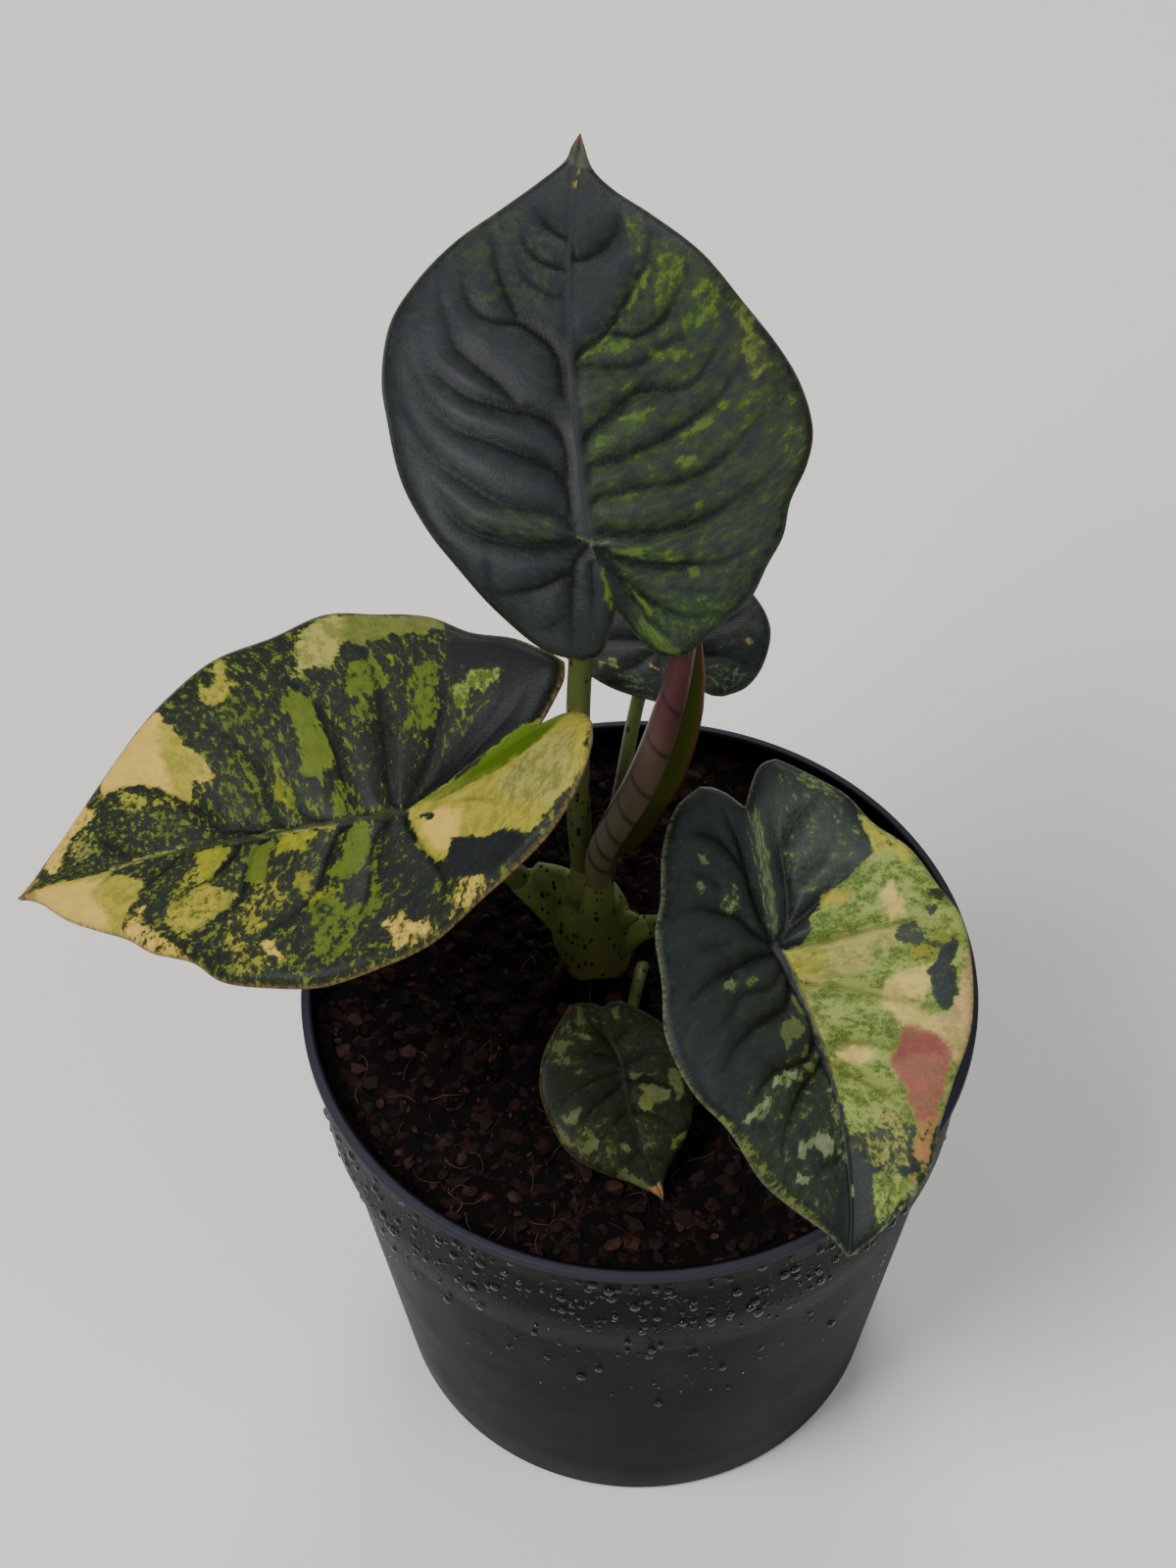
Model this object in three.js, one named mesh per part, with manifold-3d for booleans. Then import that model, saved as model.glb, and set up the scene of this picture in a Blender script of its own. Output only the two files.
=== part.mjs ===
// A potted jewel aroid: a round nursery pot filled with potting mix, a short stem wrapped in leaf
// sheaths, five heart-shaped leaves on their petioles and one new leaf that is still rolled up.
// Millimetres, +Z up, origin at the middle of the pot's flat underside. The plant's own heights
// are measured from the surface of the potting mix.
import * as THREE from "three";
import { mergeVertices } from "three/addons/utils/BufferGeometryUtils.js";
import Module from "manifold-3d";

const wasm = await Module();
wasm.setup();

// Pieces that touch keep this clearance
const CLEARANCE = 0.3;

// The pot
const POT_HEIGHT = 133;
const RIM_RADIUS = 75;
const LIP_HEIGHT = 2.6;
const LIP_OVERHANG = 1.2;
const COLLAR_HEIGHT = 31;
const COLLAR_DRAFT = 1.6;
const COLLAR_STEP = 1.6;
const BASE_RADIUS = 58.5;
const FOOT_BEVEL = 1.8;
const WALL = 1.5;
const FLOOR = 2.2;
const DRAIN_HOLES = 8;
const DRAIN_RADIUS = 4;
const DRAIN_CIRCLE = 40;
const POT_SEGMENTS = 48;

// The potting mix and the holes that the stems stand in
const SOIL_BELOW_RIM = 6.5;
const SOIL_LEVEL = POT_HEIGHT - SOIL_BELOW_RIM;
const SOIL_RINGS = 9;
const SOIL_SEGMENTS = 40;
const SOIL_RELIEF = 1.3;
const HOLE_CLEARANCE = 0.4;

// The stem, from its buried end to the top of its sheaths: place on the mix, height and radius
const STEM_FOOT = [-9.2, 9];
const STEM_RADIUS = 6.9;
const STEM_BURIED = 25;
const STEM_RINGS = [
  { at: [-9.2, 9, -STEM_BURIED], radius: 4.5 },
  { at: [-9.2, 9, -STEM_BURIED + 4], radius: STEM_RADIUS - 0.4 },
  { at: [-9.2, 9, 0], radius: STEM_RADIUS },
  { at: [-9.4, 9, 6], radius: 8 },
  { at: [-9.8, 9.3, 14], radius: 8.6 },
  { at: [-10, 9.2, 21], radius: 7.8 },
  { at: [-10.2, 8.6, 27], radius: 6.2 },
];
const STEM_SIDES = 18;

// Sheaths that grow from the stem round the foot of a petiole: path and radius along it
const SHEATHS = {
  crown: { path: [[-11.4, 10.4, 22], [-11.6, 10.6, 29], [-11.8, 10.7, 36]], radii: [4.2, 3.8, 3.4] },
  rolled: { path: [[-8.6, 6, 20], [-8.9, 5.6, 30], [-9.1, 5.5, 37]], radii: [3.6, 4, 3.5] },
  left: { path: [[-12, 9, 10], [-18.5, 10.8, 20], [-26, 11.4, 29.5]], radii: [4.6, 4.4, 3.5] },
  flap: { path: [[-11.5, 10.5, 20], [-17, 12, 28], [-22.5, 12.4, 32]], radii: [3.6, 3.4, 1.6] },
  right: { path: [[-6, 8.6, 8], [-1, 7.4, 15.2], [3.4, 6.4, 18.6]], radii: [4.4, 3.6, 2.9] },
};
const TORN_SHEATH = { path: [[-6.5, 7.6, 18], [-3, 6.2, 22], [0, 5.4, 22.6]], radii: [3.4, 2.4, 0.8] };
const BRACT = { path: [[-14.6, 6.5, 7], [-17.2, 6.2, 13], [-18.4, 6.4, 19]], radii: [2.4, 1.8, 0.8] };
const SHEATH_SIDES = 12;
const SHEATH_STEPS = 5;

// Petioles: path from the foot to the blade's joint, and radius along it
const PETIOLES = {
  crown: {
    path: [[-11.4, 10.6, 20], [-11.7, 10.7, 30], [-12.7, 11, 47], [-13, 11.2, 72], [-12, 11.6, 103], [-10, 12, 137.5]],
    radii: [2.6, 2.6, 2.5, 2.4, 2.3],
  },
  left: {
    path: [[-15, 9.8, 13], [-20.5, 11, 22.5], [-27, 11.4, 31], [-39, 6.5, 53], [-49, -3.5, 71.5]],
    radii: [2.8, 2.8, 2.6, 2.3, 2.2],
  },
  right: {
    path: [[-3.6, 8, 12], [0.8, 7.1, 16.9], [4.6, 5.8, 19.6], [16, -3.5, 29], [28, -16, 41.5]],
    radii: [2.2, 2.2, 2.1, 2, 1.9],
  },
  back: {
    path: [[-7.6, 13.4, 18], [-6.5, 14, 33], [-3.5, 19, 54], [-0.3, 24.5, 73], [3, 28, 87.5]],
    radii: [1.9, 1.8, 1.6, 1.5, 1.5],
  },
  front: {
    path: [[1.3, 9, -13], [0.9, 8, 0], [-0.3, 1, 3.6], [-2.2, -13, 10], [-4, -30.5, 17.5]],
    radii: [1.9, 1.9, 1.8, 1.6, 1.5],
  },
};
const PETIOLE_SIDES = 10;
const PETIOLE_STEPS = 10;

// Blades. The joint is where the petiole meets the blade. heading, climb and roll turn the blade:
// heading is the compass angle of the tip from +X, climb its angle above the level, and roll
// lifts the right half. The outline is the flat blade's, seen from above with the joint at 0, 0
// and the tip up; bow is how far the midrib strays sideways at half its length. fold raises a
// half from the midrib in degrees, curl is the radius that bends it down again, and arch is the
// radius that bends the blade along the midrib, before and behind the joint.
const BLADE_THICKNESS = 0.8;
const FOLD_SOFTNESS = 3;
const VEINS = 9;
const VEINS_ON_MIDRIB = 6;
const ACROSS = 4;
const WEB_ACROSS = 3;
const LEAVES = {
  crown: {
    joint: [-10, 12, 137.5], heading: 90, climb: 38, roll: 0,
    arch: { front: 160, back: 45 }, fold: { left: 10, right: 5 }, curl: { left: 60, right: 140 },
    bulge: 1.3, wave: 0.8, tip: [-1, 85], bow: -3.4, notch: [5, -14],
    left: {
      rib: [0, -12],
      margin: [[-1, 85], [-3.5, 78], [-13, 70], [-29, 58], [-39, 43], [-41, 29], [-35, 9], [-22, -10], [-11, -20], [-3, -24]],
      inner: [[-3, -24], [2, -23], [4, -19], [5, -14]],
    },
    right: {
      rib: [7.5, -10.5],
      margin: [[-1, 85], [1.5, 78], [14, 65], [28, 50], [41, 35], [44, 22], [40, 8], [36, -4], [29, -14], [17, -24]],
      inner: [[17, -24], [12, -23], [8, -18.5], [5, -14]],
    },
  },
  left: {
    joint: [-49, -3.5, 71.5], heading: 179, climb: -8, roll: -1,
    arch: { front: 200, back: -65 }, fold: { left: 20, right: 27 }, curl: { left: 110, right: 150 },
    bulge: 1.2, wave: 0.9, tip: [3, 90], bow: -1, notch: [16, -30],
    left: {
      rib: [14, -26],
      margin: [[3, 90], [-1, 84], [-19, 62], [-31, 48], [-41, 33], [-45, 12], [-38, -8], [-25, -29], [-14, -42], [2, -49]],
      inner: [[2, -49], [8, -45], [13, -38], [16, -30]],
    },
    right: {
      rib: [22, -21],
      margin: [[3, 90], [6, 83], [12, 76], [26, 61], [37, 43], [46, 27], [48, 12], [44, -10], [37, -26], [28, -38]],
      inner: [[28, -38], [24, -38], [19, -35], [16, -30]],
    },
  },
  right: {
    joint: [28, -16, 41.5], heading: -81, climb: -24, roll: 0,
    arch: { front: 400, back: 400 }, fold: { left: 22, right: 50 }, curl: { left: 300, right: 110 },
    bulge: 1.2, wave: 0.8, tip: [-5, 65], bow: -7.2, notch: [1, -31],
    left: {
      rib: [-4, -16],
      margin: [[-5, 65], [-12, 61], [-23, 52], [-27, 41], [-35, 26], [-39.5, 10], [-38, -3], [-29, -17], [-19, -31], [-8, -40]],
      inner: [[-8, -40], [-4, -39], [-1, -36], [1, -31]],
    },
    right: {
      rib: [2, -20],
      margin: [[-5, 65], [0, 61], [11, 53], [26, 37], [34, 22], [36, 12], [34, -3], [28, -15], [22, -28], [12, -35]],
      inner: [[12, -35], [7, -35.5], [3, -34], [1, -31]],
    },
  },
  front: {
    joint: [-4, -30.5, 17.5], heading: -76, climb: -26, roll: 0,
    arch: { front: 120, back: 120 }, fold: { left: 10, right: 8 }, curl: { left: 50, right: 60 },
    bulge: 0.5, wave: 0.5, tip: [-2, 28], bow: 0.4, notch: [1, -14],
    left: {
      rib: [-0.5, -8],
      margin: [[-2, 28], [-4, 24.5], [-9, 18], [-13, 10], [-14, 3], [-12, -4], [-8, -11], [-3, -15.5]],
      inner: [[-3, -15.5], [-0.5, -15.5], [1, -14]],
    },
    right: {
      rib: [3.5, -7],
      margin: [[-2, 28], [0.5, 25], [9, 19], [15, 13], [18, 5], [18, -2], [14, -9.5], [8, -15]],
      inner: [[8, -15], [4, -16], [1, -14]],
    },
  },
  back: {
    joint: [3, 28, 87.5], heading: 104, climb: 6, roll: 0,
    arch: { front: 90, back: 60 }, fold: { left: 18, right: 12 }, curl: { left: 60, right: 60 },
    bulge: 0.7, wave: 0.6, tip: [0, 45], bow: 1, notch: [6, -9],
    left: {
      rib: [0, -7],
      margin: [[0, 45], [-2, 40], [-11, 31], [-19, 19], [-22, 9], [-19, 0], [-12, -8], [-2, -14]],
      inner: [[-2, -14], [2, -13.5], [6, -9]],
    },
    right: {
      rib: [6.5, -7],
      margin: [[0, 45], [2.5, 40], [12, 31], [20, 20], [24, 9], [25, -1], [21, -10], [11, -14.5]],
      inner: [[11, -14.5], [8.5, -12], [6, -9]],
    },
  },
};

// The new leaf: a blade rolled into a tube, with one edge standing out as a flap on its right.
// Each row gives the middle of the tube, the tube's radius and the flap's width.
const ROLLED_LEAF = [
  { at: [-8.4, 5.3, 20], radius: 2.4, flap: 0.3 },
  { at: [-8.9, 5.4, 34], radius: 2.5, flap: 0.3 },
  { at: [-8.9, 5.5, 42], radius: 2.8, flap: 0.3 },
  { at: [-8.4, 5.5, 46], radius: 3, flap: 4.4 },
  { at: [-6.2, 5.5, 53], radius: 3.3, flap: 5.6 },
  { at: [-2, 5.5, 64], radius: 3.5, flap: 5.6 },
  { at: [0.9, 5.5, 73], radius: 3.5, flap: 5.5 },
  { at: [3.4, 5.5, 83], radius: 3.4, flap: 5 },
  { at: [5.4, 5.5, 93], radius: 3.1, flap: 4.3 },
  { at: [7.2, 5.5, 103], radius: 2.7, flap: 3 },
  { at: [8.6, 5.5, 112], radius: 2.1, flap: 1.4 },
  { at: [9.8, 5.5, 120], radius: 1.2, flap: 0.5 },
  { at: [10.7, 5.5, 127], radius: 0.5, flap: 0.3 },
];
const ROLLED_STEPS = 24;
const TUBE_SIDES = 12;
const FLAP_THICKNESS = 0.8;
const FLAP_START = 15;

// Colours
const COLOURS = {
  pot: 0x26262c,
  mix: 0x2a1a16,
  stem: 0x8c9a62,
  dark: 0x3c4845,
  yellow: 0xb8b068,
  cream: 0xc0b878,
  mauve: 0x7a5560,
};

function material(colour, roughness) {
  return new THREE.MeshStandardMaterial({ color: colour, roughness, metalness: 0 });
}

// A closed geometry as a solid that can be joined and cut
function toSolid(geometry) {
  const bare = geometry.clone();
  bare.deleteAttribute("normal");
  bare.deleteAttribute("uv");
  const merged = mergeVertices(bare, 1e-4);
  return new wasm.Manifold(
    new wasm.Mesh({
      numProp: 3,
      vertProperties: merged.attributes.position.array,
      triVerts: new Uint32Array(merged.index.array),
    }),
  );
}

function toGeometry(solid) {
  const mesh = solid.getMesh();
  return new THREE.BufferGeometry()
    .setAttribute("position", new THREE.BufferAttribute(mesh.vertProperties, 3))
    .setIndex(new THREE.BufferAttribute(mesh.triVerts, 1));
}

// The largest body of a solid, without the scraps that a cut leaves
function largest(solid) {
  const bodies = solid.decompose();
  return bodies.reduce((most, body) => (body.volume() > most.volume() ? body : most));
}

function closedGeometry(points, triangles) {
  return new THREE.BufferGeometry()
    .setAttribute("position", new THREE.Float32BufferAttribute(points.flatMap((p) => [p.x, p.y, p.z]), 3))
    .setIndex(triangles.flat());
}

// A skin over rings of points, each ring anticlockwise seen from the last ring, closed at both ends
function loft(rings) {
  const sides = rings[0].length;
  const points = rings.flat();
  const triangles = [];
  rings.slice(1).forEach((_, row) => {
    for (let side = 0; side < sides; side++) {
      const next = (side + 1) % sides;
      const [a, b] = [row * sides + side, row * sides + next];
      triangles.push([a, b, b + sides], [a, b + sides, a + sides]);
    }
  });
  const middle = (ring) =>
    ring.reduce((sum, p) => sum.add(p), new THREE.Vector3()).divideScalar(sides);
  const last = (rings.length - 1) * sides;
  points.push(middle(rings[0]), middle(rings[rings.length - 1]));
  for (let side = 0; side < sides; side++) {
    const next = (side + 1) % sides;
    triangles.push([points.length - 2, next, side]);
    triangles.push([points.length - 1, last + side, last + next]);
  }
  return closedGeometry(points, triangles);
}

// A value read along a list of evenly spaced values, at a fraction from 0 to 1
function along(values, fraction) {
  const place = fraction * (values.length - 1);
  const index = Math.min(Math.floor(place), values.length - 2);
  return THREE.MathUtils.lerp(values[index], values[index + 1], place - index);
}

// A closed tube round a smooth path, with its radius given along the path
function tube({ path, radii }, sides, steps, extra = 0) {
  const curve = new THREE.CatmullRomCurve3(path.map((p) => new THREE.Vector3(...p)));
  const frames = curve.computeFrenetFrames(steps, false);
  const rings = [];
  for (let step = 0; step <= steps; step++) {
    const centre = curve.getPointAt(step / steps);
    const radius = along(radii, step / steps) + extra;
    const ring = [];
    for (let side = 0; side < sides; side++) {
      const angle = (2 * Math.PI * side) / sides;
      ring.push(
        centre
          .clone()
          .addScaledVector(frames.normals[step], radius * Math.cos(angle))
          .addScaledVector(frames.binormals[step], radius * Math.sin(angle)),
      );
    }
    rings.push(ring);
  }
  return loft(rings);
}

// The pot's profile from the middle of its underside round the wall to the middle of its floor
function pot() {
  const collarFoot = POT_HEIGHT - COLLAR_HEIGHT;
  const collarTop = RIM_RADIUS - LIP_OVERHANG;
  const bodyTop = collarTop - COLLAR_DRAFT - COLLAR_STEP;
  const profile = [
    [0, 0],
    [BASE_RADIUS - FOOT_BEVEL, 0],
    [BASE_RADIUS, FOOT_BEVEL],
    [bodyTop, collarFoot],
    [bodyTop + COLLAR_STEP, collarFoot + 0.6],
    [collarTop, POT_HEIGHT - LIP_HEIGHT],
    [RIM_RADIUS, POT_HEIGHT - LIP_HEIGHT + 0.4],
    [RIM_RADIUS, POT_HEIGHT - 0.6],
    [RIM_RADIUS - 0.6, POT_HEIGHT],
    [collarTop - WALL + 0.4, POT_HEIGHT],
    [collarTop - WALL, POT_HEIGHT - 0.5],
    [bodyTop + COLLAR_STEP - WALL, collarFoot + WALL],
    [bodyTop - WALL, collarFoot],
    [BASE_RADIUS - WALL, FLOOR],
    [0, FLOOR],
  ].map(([radius, height]) => new THREE.Vector2(radius, height));
  let shell = toSolid(new THREE.LatheGeometry(profile, POT_SEGMENTS).rotateX(Math.PI / 2));
  for (let hole = 0; hole < DRAIN_HOLES; hole++) {
    const angle = (2 * Math.PI * (hole + 0.5)) / DRAIN_HOLES;
    const drill = new THREE.CylinderGeometry(DRAIN_RADIUS, DRAIN_RADIUS, 4 * FLOOR, 12)
      .rotateX(Math.PI / 2)
      .translate(DRAIN_CIRCLE * Math.cos(angle), DRAIN_CIRCLE * Math.sin(angle), 0);
    shell = shell.subtract(toSolid(drill));
  }
  return toGeometry(shell);
}

// Uneven potting mix: lumps that fade out at the pot's wall
function soilHeight(x, y) {
  const fade = 1 - Math.pow(Math.hypot(x, y) / RIM_RADIUS, 4);
  const lumps =
    Math.sin(0.31 * x + 1.1) * Math.cos(0.27 * y - 0.4) +
    0.7 * Math.sin(0.62 * x - 0.48 * y + 2) +
    0.5 * Math.cos(0.83 * y + 0.35 * x);
  return SOIL_LEVEL + SOIL_RELIEF * 0.6 * fade * lumps;
}

function pottingMix() {
  const gap = WALL + CLEARANCE;
  const collarFoot = POT_HEIGHT - COLLAR_HEIGHT;
  const collarTop = RIM_RADIUS - LIP_OVERHANG;
  const bodyTop = collarTop - COLLAR_DRAFT - COLLAR_STEP;
  const surfaceRadius = collarTop - gap - (COLLAR_DRAFT * SOIL_BELOW_RIM) / COLLAR_HEIGHT;
  const profile = [
    [0, FLOOR + CLEARANCE],
    [BASE_RADIUS - gap - CLEARANCE, FLOOR + CLEARANCE],
    [bodyTop - gap, collarFoot],
    [bodyTop + COLLAR_STEP - gap, collarFoot + WALL + 1],
  ];
  for (let ring = SOIL_RINGS; ring >= 0; ring--) {
    profile.push([(surfaceRadius * ring) / SOIL_RINGS, SOIL_LEVEL]);
  }
  const lathe = new THREE.LatheGeometry(
    profile.map(([radius, height]) => new THREE.Vector2(radius, height)),
    SOIL_SEGMENTS,
  ).rotateX(Math.PI / 2);
  const place = lathe.getAttribute("position");
  for (let i = 0; i < place.count; i++) {
    if (place.getZ(i) > SOIL_LEVEL - 1) place.setZ(i, soilHeight(place.getX(i), place.getY(i)));
  }
  let mix = toSolid(lathe);
  const stemHole = new THREE.CylinderGeometry(
    STEM_RADIUS + HOLE_CLEARANCE,
    STEM_RADIUS + HOLE_CLEARANCE,
    2 * STEM_BURIED,
    STEM_SIDES,
  )
    .rotateX(Math.PI / 2)
    .translate(STEM_FOOT[0], STEM_FOOT[1], SOIL_LEVEL - CLEARANCE);
  mix = mix.subtract(toSolid(stemHole));
  const petioleHole = tube(PETIOLES.front, PETIOLE_SIDES, PETIOLE_STEPS, HOLE_CLEARANCE);
  return toGeometry(mix.subtract(toSolid(petioleHole.translate(0, 0, SOIL_LEVEL))));
}

// The stem with its sheaths, opened where the petioles and the new leaf stand in it
function stem() {
  const rings = STEM_RINGS.map(({ at: [x, y, z], radius }) => {
    const ring = [];
    for (let side = 0; side < STEM_SIDES; side++) {
      const angle = (2 * Math.PI * side) / STEM_SIDES;
      ring.push(new THREE.Vector3(x + radius * Math.cos(angle), y + radius * Math.sin(angle), z));
    }
    return ring;
  });
  let body = toSolid(loft(rings));
  for (const sheath of [...Object.values(SHEATHS), TORN_SHEATH, BRACT]) {
    body = body.add(toSolid(tube(sheath, SHEATH_SIDES, SHEATH_STEPS)));
  }
  for (const [name, petiole] of Object.entries(PETIOLES)) {
    if (name === "front") continue;
    body = body.subtract(toSolid(tube(petiole, PETIOLE_SIDES, PETIOLE_STEPS, CLEARANCE)));
  }
  return toGeometry(largest(body.subtract(toSolid(rolledLeaf(CLEARANCE)))));
}

// How far the midrib, or the line down to the notch behind the joint, strays sideways at v
function middleOf(leaf, v) {
  const [tipU, tipV] = leaf.tip;
  if (v < 0) return (leaf.notch[0] * v) / leaf.notch[1];
  const x = v / tipV;
  return tipU * x + 4 * (leaf.bow - tipU / 2) * x * (1 - x);
}

// The blade's own directions at its joint: to the tip, to the right and up from its face
function bladeFrame(leaf) {
  const [heading, climb, roll] = [leaf.heading, leaf.climb, leaf.roll].map(THREE.MathUtils.degToRad);
  const tip = new THREE.Vector3(
    Math.cos(heading) * Math.cos(climb),
    Math.sin(heading) * Math.cos(climb),
    Math.sin(climb),
  );
  const right = new THREE.Vector3(Math.sin(heading), -Math.cos(heading), 0).applyAxisAngle(tip, -roll);
  return { tip, right, up: right.clone().cross(tip) };
}

// Where a point of the flat blade lies once the blade is bent, lifted off its middle by lift
function bent(leaf, frame, u, v, lift) {
  const arch = v < 0 ? leaf.arch.back : leaf.arch.front;
  const turn = v / arch;
  const tipward = frame.tip.clone().multiplyScalar(Math.cos(turn)).addScaledVector(frame.up, -Math.sin(turn));
  const up = frame.right.clone().cross(tipward);
  const centre = middleOf(leaf, v);
  const away = Math.abs(u - centre);
  const side = Math.sign(u - centre);
  const half = side < 0 ? "left" : "right";
  const fold = (THREE.MathUtils.degToRad(leaf.fold[half]) * away) / (away + FOLD_SOFTNESS);
  const curl = leaf.curl[half];
  const slope = fold - away / curl;
  const across = curl * (Math.sin(fold) - Math.sin(slope));
  const rise = curl * (Math.cos(slope) - Math.cos(fold));
  return new THREE.Vector3(...leaf.joint)
    .addScaledVector(frame.tip, arch * Math.sin(turn))
    .addScaledVector(frame.up, -arch * (1 - Math.cos(turn)))
    .addScaledVector(frame.right, centre + side * across - side * lift * Math.sin(slope))
    .addScaledVector(up, rise + lift * Math.cos(slope));
}

// The flat blade as points with a lift, and triangles anticlockwise from above. Rows follow the
// side veins from the midrib, or from a lobe's own rib, out to the margin. The surface is drawn
// down at each vein and bulges between two of them.
function bladeGrid(leaf) {
  const flat = [];
  const triangles = [];
  const seen = new Map();
  const add = ({ x, y }, lift) => {
    const key = `${x.toFixed(2)} ${y.toFixed(2)}`;
    if (!seen.has(key)) {
      seen.set(key, flat.length);
      flat.push({ u: x, v: y, lift });
    }
    return seen.get(key);
  };
  const triangle = (a, b, c) => {
    if (a === b || b === c || c === a) return;
    const [p, q, r] = [flat[a], flat[b], flat[c]];
    const turn = (q.u - p.u) * (r.v - p.v) - (r.u - p.u) * (q.v - p.v);
    triangles.push(turn > 0 ? [a, b, c] : [a, c, b]);
  };
  const sheet = (rows) => {
    rows.slice(1).forEach((row, i) => {
      for (let j = 1; j < row.length; j++) {
        triangle(rows[i][j - 1], rows[i][j], row[j]);
        triangle(rows[i][j - 1], row[j], row[j - 1]);
      }
    });
  };
  const rowCount = 2 * VEINS;
  const jointRow = 2 * VEINS_ON_MIDRIB;
  for (const half of [leaf.left, leaf.right]) {
    const margin = new THREE.SplineCurve(half.margin.map((p) => new THREE.Vector2(...p)));
    const inner = new THREE.SplineCurve(half.inner.map((p) => new THREE.Vector2(...p)));
    const end = margin.getPoint(1);
    const notch = new THREE.Vector2(...leaf.notch);
    const rib = new THREE.QuadraticBezierCurve(new THREE.Vector2(), new THREE.Vector2(...half.rib), end);
    const outer = [];
    for (let i = 0; i <= rowCount; i++) {
      const t = i / rowCount;
      const v = leaf.tip[1] * (1 - i / jointRow);
      const root =
        i <= jointRow
          ? new THREE.Vector2(middleOf(leaf, v), v)
          : rib.getPoint((i - jointRow) / (rowCount - jointRow));
      const rim = margin.getPointAt(Math.pow(t, 1.25));
      const reach = rim.clone().sub(root);
      const bow = root.clone().add(new THREE.Vector2(0.6 * reach.x, 0.2 * reach.y));
      const vein = new THREE.QuadraticBezierCurve(root, bow, rim);
      const between = Math.abs(Math.sin(Math.PI * VEINS * t));
      const fade = Math.min(1, reach.length() / 20);
      const row = [];
      for (let j = 0; j <= ACROSS; j++) {
        const w = j / ACROSS;
        const envelope = (1 - Math.exp(-w / 0.15)) * (1 - 0.8 * w ** 3);
        const wave = leaf.wave * Math.sin(6 * Math.PI * t) * w ** 3;
        row.push(add(vein.getPoint(w), j === 0 ? 0 : fade * (leaf.bulge * between * envelope + wave)));
      }
      outer.push(row);
    }
    sheet(outer);
    const web = [];
    for (let i = jointRow; i <= rowCount; i++) {
      const b = (i - jointRow) / (rowCount - jointRow);
      const row = [outer[i][0]];
      for (let j = 1; j <= WEB_ACROSS; j++) {
        const a = j / WEB_ACROSS;
        const straight = end.clone().lerp(notch, a);
        const onEdge = inner.getPointAt(a).sub(straight).multiplyScalar(b * b);
        row.push(add(rib.getPoint(b).lerp(notch.clone().multiplyScalar(b), a).add(onEdge), 0));
      }
      web.push(row);
    }
    sheet(web);
  }
  return { flat, triangles };
}

// A closed sheet between two lifts off the bent blade's middle, with both faces split alike
function bladeSheet(leaf, low, high) {
  const { flat, triangles } = bladeGrid(leaf);
  const frame = bladeFrame(leaf);
  const face = (lift) => flat.map((p) => bent(leaf, frame, p.u, p.v, p.lift + lift));
  const count = flat.length;
  const under = triangles.map(([a, b, c]) => [a + count, c + count, b + count]);
  const edges = new Map();
  triangles.forEach(([a, b, c]) => {
    for (const [from, to] of [[a, b], [b, c], [c, a]]) {
      if (!edges.delete(`${to} ${from}`)) edges.set(`${from} ${to}`, [from, to]);
    }
  });
  const rim = [...edges.values()].flatMap(([from, to]) => [
    [from, to + count, to],
    [from, from + count, to + count],
  ]);
  return closedGeometry([...face(high), ...face(low)], [...triangles, ...under, ...rim]);
}

function blade(leaf) {
  return bladeSheet(leaf, -BLADE_THICKNESS / 2, BLADE_THICKNESS / 2);
}

// A petiole, ended just under its blade
function petiole(name) {
  const whole = toSolid(tube(PETIOLES[name], PETIOLE_SIDES, PETIOLE_STEPS));
  const depth = BLADE_THICKNESS / 2 + CLEARANCE;
  return toGeometry(largest(whole.subtract(toSolid(bladeSheet(LEAVES[name], -depth, 8)))));
}

// The new leaf: rings of a round tube with a thin flap that leaves it towards the back right
function rolledLeaf(extra = 0) {
  const curve = new THREE.CatmullRomCurve3(ROLLED_LEAF.map(({ at }) => new THREE.Vector3(...at)));
  const radii = ROLLED_LEAF.map(({ radius }) => radius);
  const flaps = ROLLED_LEAF.map(({ flap }) => flap);
  const back = new THREE.Vector3(0, 1, 0);
  const half = FLAP_THICKNESS / 2 + extra;
  const rings = [];
  for (let step = 0; step <= ROLLED_STEPS; step++) {
    const fraction = step / ROLLED_STEPS;
    const centre = curve.getPoint(fraction);
    const right = back.clone().cross(curve.getTangent(fraction)).normalize();
    const radius = along(radii, fraction) + extra;
    const reach = radius + along(flaps, fraction);
    const lean = 0.35 * radius;
    const section = [
      [reach, lean + 0.5 - half],
      [reach, lean + 0.5 + half],
      [0.5 * (radius + reach), lean + 0.75 + half],
    ];
    for (let side = 0; side < TUBE_SIDES; side++) {
      const angle = THREE.MathUtils.degToRad(60 + ((345 - FLAP_START - 60) * side) / (TUBE_SIDES - 1) + FLAP_START);
      section.push([radius * Math.cos(angle), radius * Math.sin(angle)]);
    }
    section.push([0.5 * (radius + reach), lean + 0.25 - half]);
    rings.push(section.map(([x, y]) => centre.clone().addScaledVector(right, x).addScaledVector(back, y)));
  }
  return loft(rings);
}

const plant = new THREE.Group();
plant.position.z = SOIL_LEVEL;
const group = new THREE.Group();
group.add(plant);

function mesh(parent, name, geometry, colour, roughness) {
  const made = new THREE.Mesh(geometry, material(colour, roughness));
  made.name = name;
  parent.add(made);
}

mesh(group, "pot", pot(), COLOURS.pot, 0.45);
mesh(group, "potting_mix", pottingMix(), COLOURS.mix, 0.95);
mesh(plant, "stem", stem(), COLOURS.stem, 0.5);
mesh(plant, "rolled_leaf", rolledLeaf(), COLOURS.mauve, 0.5);
const bladeColours = {
  crown: COLOURS.dark,
  left: COLOURS.yellow,
  right: COLOURS.cream,
  front: COLOURS.dark,
  back: COLOURS.dark,
};
for (const [name, leaf] of Object.entries(LEAVES)) {
  mesh(plant, `petiole_${name}`, petiole(name), COLOURS.stem, 0.5);
  mesh(plant, `blade_${name}`, blade(leaf), bladeColours[name], 0.4);
}

export default group;
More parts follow.
